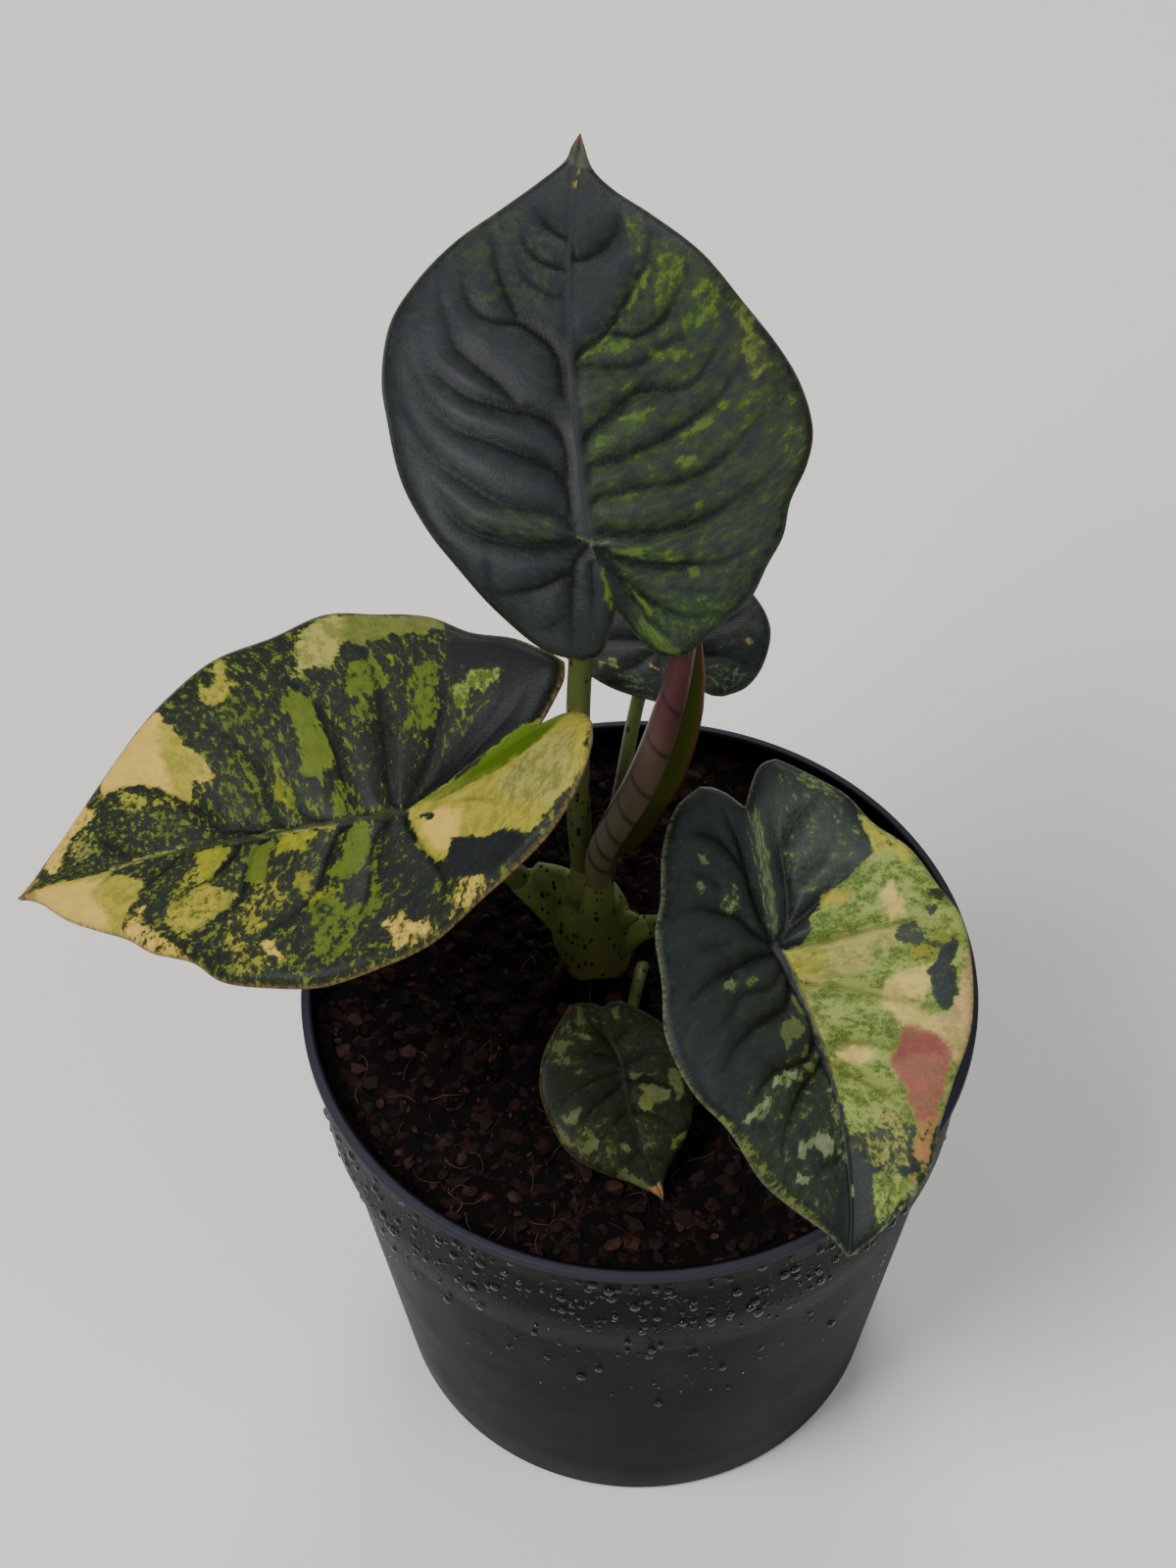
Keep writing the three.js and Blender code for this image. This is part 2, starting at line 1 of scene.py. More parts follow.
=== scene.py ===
"""A variegated jewel aroid in a nursery pot: leaf blades, petioles, stem, new leaf, pot and potting mix.

Lengths in the tables are millimetres, and every made object is in metres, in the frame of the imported
model: +Z up, with the origin at the middle of the pot's underside.
"""

import math
import random
from functools import partial

import bmesh
import bpy
import numpy as np
from bpy.props import FloatProperty, FloatVectorProperty, IntProperty, PointerProperty
from mathutils import Matrix, Vector, noise


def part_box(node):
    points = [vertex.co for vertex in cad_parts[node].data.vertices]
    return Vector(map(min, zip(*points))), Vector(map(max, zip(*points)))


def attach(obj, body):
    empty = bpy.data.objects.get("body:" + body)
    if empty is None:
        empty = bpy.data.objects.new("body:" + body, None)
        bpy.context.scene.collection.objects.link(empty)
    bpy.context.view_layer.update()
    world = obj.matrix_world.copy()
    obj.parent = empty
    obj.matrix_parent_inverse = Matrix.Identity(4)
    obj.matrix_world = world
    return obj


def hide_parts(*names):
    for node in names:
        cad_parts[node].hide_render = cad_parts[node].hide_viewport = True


bl_info = {
    "name": "Potted variegated aroid",
    "version": (1, 0, 0),
    "blender": (4, 5, 0),
    "location": "View3D > Sidebar > Potted plant",
    "description": "Builds a variegated aroid in a nursery pot, piece by piece",
    "category": "Object",
}

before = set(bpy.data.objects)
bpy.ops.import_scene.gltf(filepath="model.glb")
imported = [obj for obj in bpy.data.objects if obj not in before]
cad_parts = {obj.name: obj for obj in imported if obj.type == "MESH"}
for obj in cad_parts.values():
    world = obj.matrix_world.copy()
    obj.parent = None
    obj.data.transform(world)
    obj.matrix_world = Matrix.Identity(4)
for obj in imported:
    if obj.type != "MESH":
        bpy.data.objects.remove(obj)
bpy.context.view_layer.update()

MM = 0.001
POT_HEIGHT = (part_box("pot")[1].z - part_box("pot")[0].z) / MM
RIM_RADIUS = (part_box("pot")[1].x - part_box("pot")[0].x) / 2 / MM
SOIL_BELOW_RIM = 6.5
SOIL_LEVEL = POT_HEIGHT - SOIL_BELOW_RIM
# Mix heaped against the front of the stem
HEAP_PLACE, HEAP_HEIGHT, HEAP_REACH = (-9, 0.6), 6.5, 6.6

# How far the pot's collar lies inside its lip, and its body inside the collar
LIP_DEPTH, STEP_DEPTH = 1.2, 3.2
# Thickness of the pot's floor, the lean of its side, and the gap between the mix and the pot's side
POT_FLOOR, SIDE_SLOPE, SOIL_GAP = 2.2, 0.09, 0.5
# How much narrower than the pot's base the mix ends, and how far above the pot's floor
MIX_INSET, MIX_LIFT = 2.2, 0.4

# The camera that the photograph was taken with, fitted to the pot's rim and base. Its place is in
# metres and its angles in degrees, and the image's height and the focal length are in pixels.
IMAGE_HEIGHT = 1600
FOCAL_PIXELS = 3200
CAMERA_PLACE = (-0.01083, -0.39647, 0.70549)
CAMERA_PITCH = 51.7
CAMERA_ROLL = 0.7
SENSOR_MM = 36

# Lamps: name, place and width in metres, and power in watts. They point at a place on the plant.
LAMPS = (
    ("key", (-0.7, -0.5, 1.3), 0.7, 23),
    ("fill", (0.9, -0.6, 0.9), 1.0, 6),
    ("rim", (0.1, 1.1, 1.0), 0.8, 10),
)
LAMP_TARGET = (0, 0, 0.15)
FLOOR_REACH = 3

def linear(colour):
    """An sRGB hex colour as linear red, green, blue and alpha."""
    channels = [(colour >> shift & 255) / 255 for shift in (16, 8, 0)]
    return (*[c / 12.92 if c <= 0.04045 else ((c + 0.055) / 1.055) ** 2.4 for c in channels], 1.0)


# Colours of living leaf tissue, where chlorophyll and the dark top layer are missing in turn
CREAM = 0xC8A64E
BUTTER = 0xC2AA5E
PALE = 0x98904E
STRAW = 0x9C9038
YELLOW = 0x8A8422
KHAKI = 0x666A34
OLIVE = 0x586420
GREEN = 0x465C2A
LIME = 0x486414
LEAF = 0x3C5206
SAGE = 0x808C44
ASH = 0x5E6A52
FROST = 0x808A6C
MOSS = 0x565A3A
DUSK = 0x44433B
BUFF = 0xB89A62
BURN = 0x8C4C47
EMBER = 0x7C3C3A
BLUSH = 0x986C48
LILAC = 0x58555F
RUST = 0x8C3424
NO_LIGHT = None
# How strongly greener clouds and the net of fine veins show in a colour, where it isn't 0.45
VEILS = {
    CREAM: 0.14, SAGE: 0.95, BUTTER: 0.3, BURN: 0.34, EMBER: 0.2, BLUSH: 0.15, LILAC: 0, RUST: 0, DUSK: 0,
    PALE: 0.55, STRAW: 0.4,
}

# Blades. The joint, headings, folds and curls are those of the solids. The margins go from the tip to
# the end of each lobe, and the inner edges on from there to the notch. Bow is how far to the side the
# midrib lies at half its length, rib_width half its width, and groove how strong the trenches beside it
# are. Bulge is the height of the swellings and wave that of the margin's waves. Speckle is the share of
# light tissue outside the areas, whose colours fade over blur. Islands is the scale of the mottling, soft
# the width of its edges, and haze how strong the light tissue is that shows faintly round them. Dark is
# the dark layer's colour, deep a painted shade in its grooves, creases and trenches, and raised a painted
# sheen on its swellings. Vein is the colour of the side veins on light tissue, with painted crease shade.
LEAVES = {
    "crown": {
        "joint": (-10, 12, 137.5), "heading": 90, "climb": 38, "roll": 0, "arch": (160, 45),
        "fold": (10, 5), "curl": (60, 140), "bulge": 1.5, "wave": 0.8, "tip": (-1, 85), "bow": -3.4,
        "notch": (5, -14), "dark": 0x1D2120, "deep": 0x0D100F, "raised": 0x2C2E31, "midrib": 0x2E2F32,
        "rib_width": 1.15, "margin": 0x3E4438, "vein": 0x1E2A14, "speckle": 0, "shade": 0x36491E,
        "fleck": 0x28361F, "net": 0x56702E, "haze": 0.5,
        "groove": 0.1, "soft": 0.3, "blur": 3.0, "islands": 520,
        "left": {
            "rib": (0, -12),
            "margin": [(-1, 87), (-2.5, 83), (-4, 79), (-8.7, 74.6), (-16.6, 68.6), (-25.2, 61.8),
                (-33.8, 52.7), (-39.5, 44.7), (-41.7, 34), (-40.3, 24.2), (-37.2, 12.8), (-32, 3),
                (-25.8, -5.5), (-18.9, -14), (-9.8, -22), (-2, -24.2)],
            "inner": [(-2, -24.2), (1.8, -23), (3.7, -19), (5, -14)],
        },
        "right": {
            "rib": (7.5, -10.5),
            "margin": [(-1, 87), (0, 83), (1.6, 77.2), (5.6, 72.6), (13, 67), (22, 58.4), (30, 48),
                (37.6, 38.8), (42, 31), (43.9, 22), (42.4, 14.5), (38.9, 7), (37.4, 0.2), (34.4, -5.5),
                (31, -12.3), (25.4, -17.3), (18.6, -23.4)],
            "inner": [(18.6, -23.4), (13, -23.2), (8.7, -19), (5, -14)],
        },
    },
    "left": {
        "joint": (-49, -3.5, 71.5), "heading": 179, "climb": -8, "roll": -1, "arch": (200, -65),
        "fold": (20, 27), "curl": (110, 150), "bulge": 1.5, "wave": 0.9, "tip": (3, 90), "bow": -1,
        "notch": (16, -30), "dark": 0x17191A, "deep": 0x090B0C, "raised": 0x202224, "midrib": 0x2E3420,
        "rib_width": 0.8, "margin": 0x705E3C, "vein": 0x3A4614, "speckle": 0.27, "shade": 0x42521A,
        "fleck": 0x36440F, "net": 0x5E6A20, "haze": 0.14,
        "groove": 0.4, "soft": 0.06, "blur": 1.8, "islands": 680, "spot": 0x6C7424,
        "left": {
            "rib": (14, -26),
            "margin": [(3, 91), (-1.9, 83.4), (-9.9, 74.7), (-15.6, 66.8), (-22.8, 56.7), (-30, 48.8),
                (-35, 39.5), (-40.8, 33), (-43.7, 23), (-44.9, 12), (-41.9, 0), (-37.9, -11),
                (-30.7, -21), (-25, -29.7), (-19.2, -38.3), (-12, -45.5), (-4, -50.4), (2, -50)],
            "inner": [(2, -50), (7, -46.5), (13, -39.5), (16, -30)],
        },
        "right": {
            "rib": (22, -21),
            "margin": [(3, 91), (5.3, 85.5), (11, 78.3), (18.9, 69.7), (26.9, 59.6), (35.5, 48.8),
                (42.7, 38.7), (45.6, 26.5), (48.5, 15.7), (46.3, 4.2), (44.9, -8), (40.5, -17.4),
                (36.9, -27.5), (30.5, -35.5), (27.5, -38)],
            "inner": [(27.5, -38), (24, -37), (20.5, -34), (16, -30)],
        },
    },
    "right": {
        "joint": (28, -16, 41.5), "heading": -81, "climb": -24, "roll": 0, "arch": (400, 400),
        "fold": (22, 50), "curl": (300, 110), "bulge": 1.7, "wave": 0.8, "tip": (-5, 65), "bow": -7.2,
        "notch": (1, -31), "dark": 0x1C2120, "deep": 0x090D0B, "raised": 0x2B3030, "midrib": 0x38343E,
        "rib_width": 0.75, "margin": 0x5A6048, "vein": 0x50501F, "speckle": 0, "shade": 0x42581C,
        "fleck": 0x2A3618, "net": 0x98A264, "haze": 0.3,
        "groove": 1.0, "soft": 0.06, "blur": 0.9, "islands": 620,
        "left": {
            "rib": (-4, -16),
            "margin": [(-5, 66), (-10.7, 62.8), (-17.8, 57.6), (-23.9, 51.5), (-27.2, 43.3),
                (-32.1, 33.9), (-37.1, 24.6), (-39.5, 14.1), (-39.8, 2.6), (-36, -5.7), (-31.6, -14.5),
                (-25, -21.6), (-20.6, -28.8), (-13.4, -35.4), (-7.4, -40)],
            "inner": [(-7.4, -40), (-4, -39.6), (-1.5, -36.5), (1, -31)],
        },
        "right": {
            "rib": (2, -20),
            "margin": [(-5, 66), (-0.8, 61.4), (9.1, 54.3), (18.5, 47.1), (25.6, 37.2), (32.2, 29.5),
                (35.8, 18.5), (34.6, 8.6), (34, -2), (30.9, -9), (27.3, -19.4), (21.2, -28.8), (13, -34.5)],
            "inner": [(13, -34.5), (8.6, -34.8), (4.2, -33.6), (1, -31)],
        },
    },
    # The front blade's colours are darkened: painted shade of the shadow that it lies in.
    "front": {
        "joint": (-4, -30.5, 17.5), "heading": -76, "climb": -26, "roll": 0, "arch": (120, 120),
        "fold": (10, 8), "curl": (50, 60), "bulge": 0.6, "wave": 0.5, "tip": (-2, 28), "bow": 0.4,
        "notch": (1, -14), "dark": 0x0F120D, "deep": 0x080A06, "raised": 0x191D15, "midrib": 0x15190F,
        "rib_width": 0.6, "margin": 0x4A4428, "vein": 0x2C3318, "speckle": 0.12, "shade": 0x343C1A,
        "fleck": 0x2E3616, "net": 0x444C22, "haze": 0.3,
        "groove": 0.2, "soft": 0.14, "blur": 1.2, "islands": 760,
        "left": {
            "rib": (-0.5, -8),
            "margin": [(-2, 29), (-2.9, 25.5), (-5.3, 22), (-10, 16.7), (-13, 10.5), (-14, 3),
                (-12.2, -4.5), (-8.6, -10), (-3, -14.6)],
            "inner": [(-3, -14.6), (-0.8, -14.8), (1, -14)],
        },
        "right": {
            "rib": (3.5, -7),
            "margin": [(-2, 29), (-0.2, 26.8), (4, 23.8), (11.7, 18.7), (16.3, 13.3), (18.5, 4), (18, -2),
                (15, -8.5), (8, -16)],
            "inner": [(8, -16), (4, -15.8), (1, -14)],
        },
    },
    "back": {
        "joint": (3, 28, 87.5), "heading": 104, "climb": 6, "roll": 0, "arch": (90, 60), "fold": (18, 12),
        "curl": (60, 60), "bulge": 0.9, "wave": 0.6, "tip": (0, 45), "bow": 1, "notch": (6, -9),
        "dark": 0x191E1D, "deep": 0x0C0F0E, "raised": 0x262B2A, "midrib": 0x242A25, "rib_width": 0.7,
        "margin": 0x40463C, "vein": 0x2A3420, "speckle": 0.1, "shade": 0x4C5640,
        "fleck": 0x2A3424, "net": 0x58624C, "haze": 0.3,
        "groove": 0.4, "soft": 0.12, "blur": 2.0, "islands": 620,
        "left": {
            "rib": (0, -7),
            "margin": [(0, 45), (-2, 40), (-11, 31), (-19, 19), (-22, 9), (-19, 0), (-12, -8), (-2, -14)],
            "inner": [(-2, -14), (2, -13.5), (6, -9)],
        },
        "right": {
            "rib": (6.5, -7),
            "margin": [(0, 45), (2.5, 40), (12, 31), (20, 20), (24, 9), (25, -1), (21.6, -9),
                (16.5, -13.6), (11, -14.6)],
            "inner": [(11, -14.6), (8.4, -13.6), (6.8, -11.6), (6, -9)],
        },
    },
}

# Side veins of each half, each with its strength and the places that it passes
VEINS = {
    ("crown", "left"): [
        (0.8, [(-3.1, 60), (-6, 61.5), (-8.7, 64.5), (-10.6, 68.5)]),
        (0.7, [(-3.4, 53.3), (-7, 54.2), (-10.5, 56.5), (-12.4, 60), (-13.2, 65.5)]),
        (0.5, [(-3.6, 47), (-8, 48.3), (-12, 51.5), (-14, 56), (-15, 62)]),
        (1, [(-4.4, 28), (-5, 33), (-7, 37.3), (-9.8, 39.9), (-13, 42), (-17, 42.4), (-20.5, 44),
            (-23, 47.5), (-24, 53), (-24, 59)]),
        (0.8, [(-12.7, 41.8), (-14.4, 45.3), (-16.5, 51), (-18, 57), (-18.6, 64)]),
        (0.8, [(-13.5, 25.6), (-17, 30), (-20.5, 33), (-25, 37.6), (-26.6, 43), (-28.6, 50), (-29.4, 56)]),
        (1, [(-3.9, 12), (-4.2, 17), (-6.3, 21.5), (-10.4, 23.8), (-16, 25.2), (-22, 27.2), (-26.5, 30.5),
            (-30.3, 34.4), (-32.5, 40), (-34, 47)]),
        (0.9, [(-3.6, 5), (-4.2, 10), (-7.5, 13.9), (-13, 16.2), (-20, 19.2), (-26, 22), (-31, 27),
            (-34.4, 34.5), (-36.9, 43)]),
        (0.8, [(-3, 2), (-6, 4.6), (-12, 5.6), (-18, 7.4), (-24.6, 12), (-29.5, 15.5), (-34, 21.5),
            (-37, 29), (-39, 36)]),
        (1, [(-2, -0.8), (-9.8, -1.3), (-16, -0.4), (-23, 1.9), (-27, 6), (-30.5, 12), (-34, 18)]),
        (0.9, [(-3.2, -6.2), (-8.7, -8.8), (-13.2, -9.8), (-18, -10), (-23, -8)]),
        (0.4, [(-19.2, -9), (-19.4, -5), (-19.2, -0.5)]),
        (0.4, [(-3.6, -13.5), (-8, -16.5), (-13, -17)]),
        (1, [(-0.5, -1.5), (-2.8, -4.5), (-3.4, -9), (-3.7, -16), (-3.4, -22)]),
        (0.6, [(0.2, -5), (0.3, -11), (-0.4, -18)]),
    ],
    ("crown", "right"): [
        (0.9, [(-2.9, 56), (-1, 55.6), (2, 56.9), (4.6, 59.4), (6.2, 63), (6.8, 68)]),
        (1, [(-2.9, 33), (-2, 35.6), (1.2, 37.8), (5, 41.8), (8.4, 48), (11.2, 54), (12.5, 60),
            (12.5, 65)]),
        (0.9, [(4.4, 40.3), (9, 39.3), (13, 41.3), (16.5, 46), (18.8, 52), (19.3, 58)]),
        (0.7, [(-2.8, 31.5), (-1.5, 33.6), (4, 33.3), (10, 33.6), (14.1, 36.7), (18.5, 39.5),
            (21.5, 44.5), (23.8, 51.5)]),
        (1, [(-2, 16), (-0.5, 19.5), (3.3, 23), (6.2, 25.6), (9, 28.2), (13, 28.6), (17.6, 28.9),
            (21, 30.6), (24, 35.5), (26.9, 40.5), (28.2, 45)]),
        (0.5, [(9, 28.2), (12, 31), (16, 33), (19, 34)]),
        (0.9, [(-1.3, 10), (0, 13.8), (4, 14.9), (8.5, 16.3), (14, 18.7), (20, 22.7), (24.5, 26.7),
            (28.6, 32.5), (32.6, 40.5)]),
        (0.8, [(-0.7, 4.5), (1, 7.4), (6.2, 8.9), (13, 10), (19, 11.2), (25, 14.6), (31, 21), (36, 27.5),
            (39, 33)]),
        (0.9, [(0.5, 1.2), (4, 1), (10, 0.7), (16.4, 1.9), (23, 4.2), (30, 8.7), (36, 14), (40, 20)]),
        (1, [(1.5, -1.6), (5, -3.6), (11, -5.1), (18, -5.3), (25, -4.5), (31, -2), (35, 1.5)]),
        (0.8, [(4, -5.5), (7, -8), (12, -12.2), (18.7, -14.8), (24, -14.4), (28, -12)]),
        (0.9, [(1.5, -2), (6.5, -8), (10, -13.5), (14.5, -18), (17.5, -21.5)]),
        (0.3, [(15, -9), (20, -10), (26, -9.5)]),
    ],
    ("left", "left"): [
        (0.5, [(0.4, 62), (-4, 65), (-8, 70)]),
        (0.6, [(0, 46), (-5, 49.5), (-10, 54), (-15, 60), (-18, 62)]),
        (1, [(-1, 31), (-1.9, 34.4), (-4.8, 34.8), (-8.4, 36.6), (-12, 39), (-14.8, 42.3), (-17.8, 45.2),
            (-20, 50)]),
        (0.9, [(-1.5, 27), (-5, 30.4), (-13, 31), (-20.7, 30.8), (-24.3, 33), (-27.1, 35.9),
            (-30.7, 39.5), (-33, 42.3)]),
        (1, [(-1, 10), (-4, 13), (-12, 14.2), (-20, 15), (-25, 17), (-30, 21.5), (-34, 27), (-35.4, 33)]),
        (0.9, [(-0.5, 2.6), (-8, 5), (-19, 4.5), (-28, 5), (-34, 8), (-39, 12), (-41.5, 16)]),
        (0.5, [(-1, 1.4), (-9, 3.2), (-24, 2.5)]),
        (1, [(-1, -0.6), (-5, -1.8), (-12.7, -6), (-18.5, -9.5), (-25.7, -13), (-31, -12), (-36, -8)]),
        (0.5, [(-0.9, -12), (-2, -16), (-4.8, -21), (-8.4, -26), (-12, -31)]),
        (0.7, [(2, -8), (4.4, -15), (5.3, -23), (6.3, -31.8), (4.9, -40.5)]),
        (0.4, [(5.4, -24), (-2, -32), (-8, -42)]),
    ],
    ("left", "right"): [
        (0.5, [(1, 60), (5, 64), (9, 70), (11, 75)]),
        (1, [(0, 30), (1.7, 34.4), (2.4, 38.4), (9.6, 45.2), (13.2, 50.6), (16, 54.6), (17, 60), (19, 66)]),
        (0.8, [(-0.6, 22), (1.5, 26), (9.6, 28.7), (15.3, 29.7), (21, 34.4), (26.1, 39.5), (28.3, 44.5),
            (30, 49)]),
        (0.7, [(-0.8, 15), (2.4, 20), (6.7, 23.6), (13.2, 26.9), (20, 30), (26, 35)]),
        (1, [(-0.6, 6), (2, 9.4), (8.1, 11.4), (13.9, 12.5), (19, 14.3), (24, 15.7), (28.3, 18.6),
            (32.6, 22.2), (36.2, 25.8), (38.4, 29.4), (40, 34)]),
        (0.9, [(0.4, 0.6), (5, 2), (15, 2.8), (27.6, 3.8), (32.6, 4.9), (38.4, 8.1), (43.4, 12.1),
            (46, 15)]),
        (0.8, [(0.6, -0.6), (4.5, -2.3), (9.6, -5.2), (16.8, -8), (22.5, -10.2), (28.3, -10.9),
            (33.3, -10.2), (39, -8.4)]),
        (0.7, [(1, -1), (5, -5.6), (11, -11.7), (15.3, -16), (19.7, -20.3), (24, -23.9), (29, -27)]),
        (0.9, [(1, -1.6), (7, -9), (13.9, -17.4), (18.9, -24.6), (24, -29.7), (28, -33)]),
    ],
    ("right", "left"): [
        (1, [(-0.6, 0.4), (-4, 1), (-12, 1), (-22, 0.5), (-28, 0.6), (-33, 2), (-38, 5)]),
        (0.9, [(-1.6, 5), (-5, 9), (-12, 11), (-20, 14.5), (-25, 16.5), (-29, 19.5), (-31, 23),
            (-31.7, 28)]),
        (0.9, [(-5, 19), (-6.5, 22), (-10, 22.3), (-15, 23), (-20, 25), (-22, 29), (-23, 35)]),
        (1, [(-6.6, 25), (-9, 27.5), (-13, 30.5), (-17, 34), (-20, 37), (-22, 41), (-22.8, 46)]),
        (0.4, [(-8.6, 42), (-13, 46), (-16, 52), (-16.4, 58)]),
        (1, [(-1, -0.8), (-4, -3.4), (-8, -5.5), (-14, -9.5), (-20, -13), (-25, -15.4)]),
        (0.6, [(-4, -12.8), (-7.9, -13.4), (-11.2, -15.6), (-15.6, -19.4), (-19, -23.6)]),
        (0.8, [(-4.2, -19), (-7.4, -23.8), (-10.7, -27.1), (-14.5, -29.3), (-19, -30.4)]),
        (1, [(-0.4, -1), (-3, -4), (-4.2, -10), (-4.6, -20), (-4.4, -30), (-4.2, -36)]),
    ],
    ("right", "right"): [
        (0.5, [(-8.2, 43), (-4, 46), (1.4, 47.1), (4.7, 49.9), (7, 54)]),
        (1, [(-5.8, 25), (-1.9, 27.9), (2, 30), (5.8, 33.4), (9.1, 36.7), (11.9, 40), (13.5, 44),
            (14, 48)]),
        (1, [(-4.8, 20.6), (-1, 24.4), (5.8, 26.2), (10.2, 26.8), (14.6, 29), (18.5, 31.7), (21.2, 33.9),
            (24, 37)]),
        (1, [(-1.6, 7), (1.4, 13), (6, 15), (13, 17.5), (19, 20.5), (23, 23.5), (26, 27), (27.6, 32)]),
        (0.6, [(0, 5), (6, 9.4), (15, 11), (20.1, 15.2), (25.6, 18), (32, 21)]),
        (0.9, [(0.5, 1.4), (8, 3), (14, 5), (20, 7), (26, 9.5), (31, 13), (34.4, 16.4)]),
        (0.9, [(1, -0.4), (6, -2.6), (10, -5.5), (16, -6.5), (22, -7), (27, -6), (32, -3.6)]),
        (0.3, [(14, 0), (21, 1), (27, 3), (32, 6)]),
        (0.8, [(5, -14), (6.4, -17), (9, -20), (13, -22.5), (18, -23), (22, -22), (25, -19)]),
        (1, [(0.8, -1), (2.6, -5), (4.2, -11), (5, -18), (7, -25), (10, -30), (13, -33.5)]),
        (0.4, [(15, -12), (20, -14), (26, -14.5)]),
    ],
    ("front", "left"): [
        (0.6, [(-1, 19), (-4, 20.4), (-6.4, 22)]),
        (0.8, [(0.2, 9), (-3, 10.4), (-6, 12.6), (-8.6, 16.4)]),
        (1, [(0.4, 2.6), (-4, 3.6), (-7, 4.8), (-10, 7.6), (-12, 11)]),
        (0.8, [(0, -0.6), (-5, -1.6), (-9, -1), (-12.6, 2)]),
        (0.7, [(0, -6), (-4, -8.4), (-8.6, -8.6)]),
    ],
    ("front", "right"): [
        (0.6, [(0, 17), (3, 18.8), (5.4, 21)]),
        (0.7, [(0.8, 8), (4, 10.4), (8, 13.4), (10.6, 17)]),
        (1, [(0.8, 3), (5.7, 5.3), (8.7, 6.9), (10.7, 8.9), (12.6, 13)]),
        (0.8, [(0.6, 0.4), (7, 1), (13, 3.4), (16.6, 7)]),
        (0.8, [(1.2, -2.4), (7, -5), (13, -5.4)]),
        (0.8, [(0.6, -1), (2, -6), (5, -11), (7.4, -14)]),
    ],
    ("back", "left"): [
        (0.7, [(0.6, 30), (-4, 31), (-8.6, 34)]),
        (0.8, [(0.8, 20), (-6, 21), (-12, 23.6), (-15, 27)]),
        (1, [(0.6, 10), (-8, 11.4), (-15, 14.6), (-19, 19)]),
        (0.9, [(0, 1), (-8, 2), (-15, 3.6), (-21, 8)]),
        (0.9, [(0, -2), (-5, -5), (-10, -6), (-15, -5)]),
        (0.8, [(0, -1), (-0.4, -6), (-2, -12)]),
    ],
    ("back", "right"): [
        (0.7, [(0.6, 30), (5, 31), (9, 35)]),
        (0.8, [(0.8, 20), (7, 20.6), (13, 23), (16, 26)]),
        (1, [(0.6, 10), (9, 11), (17, 14), (21, 18)]),
        (0.9, [(1, 0), (10, 0), (18, 1.6), (24, 5)]),
        (1, [(2, -1.4), (9, -5), (14, -7), (17, -9), (20.6, -10.4)]),
        (0.8, [(1.4, -1.4), (5, -6.4), (10, -12.4)]),
    ],
}

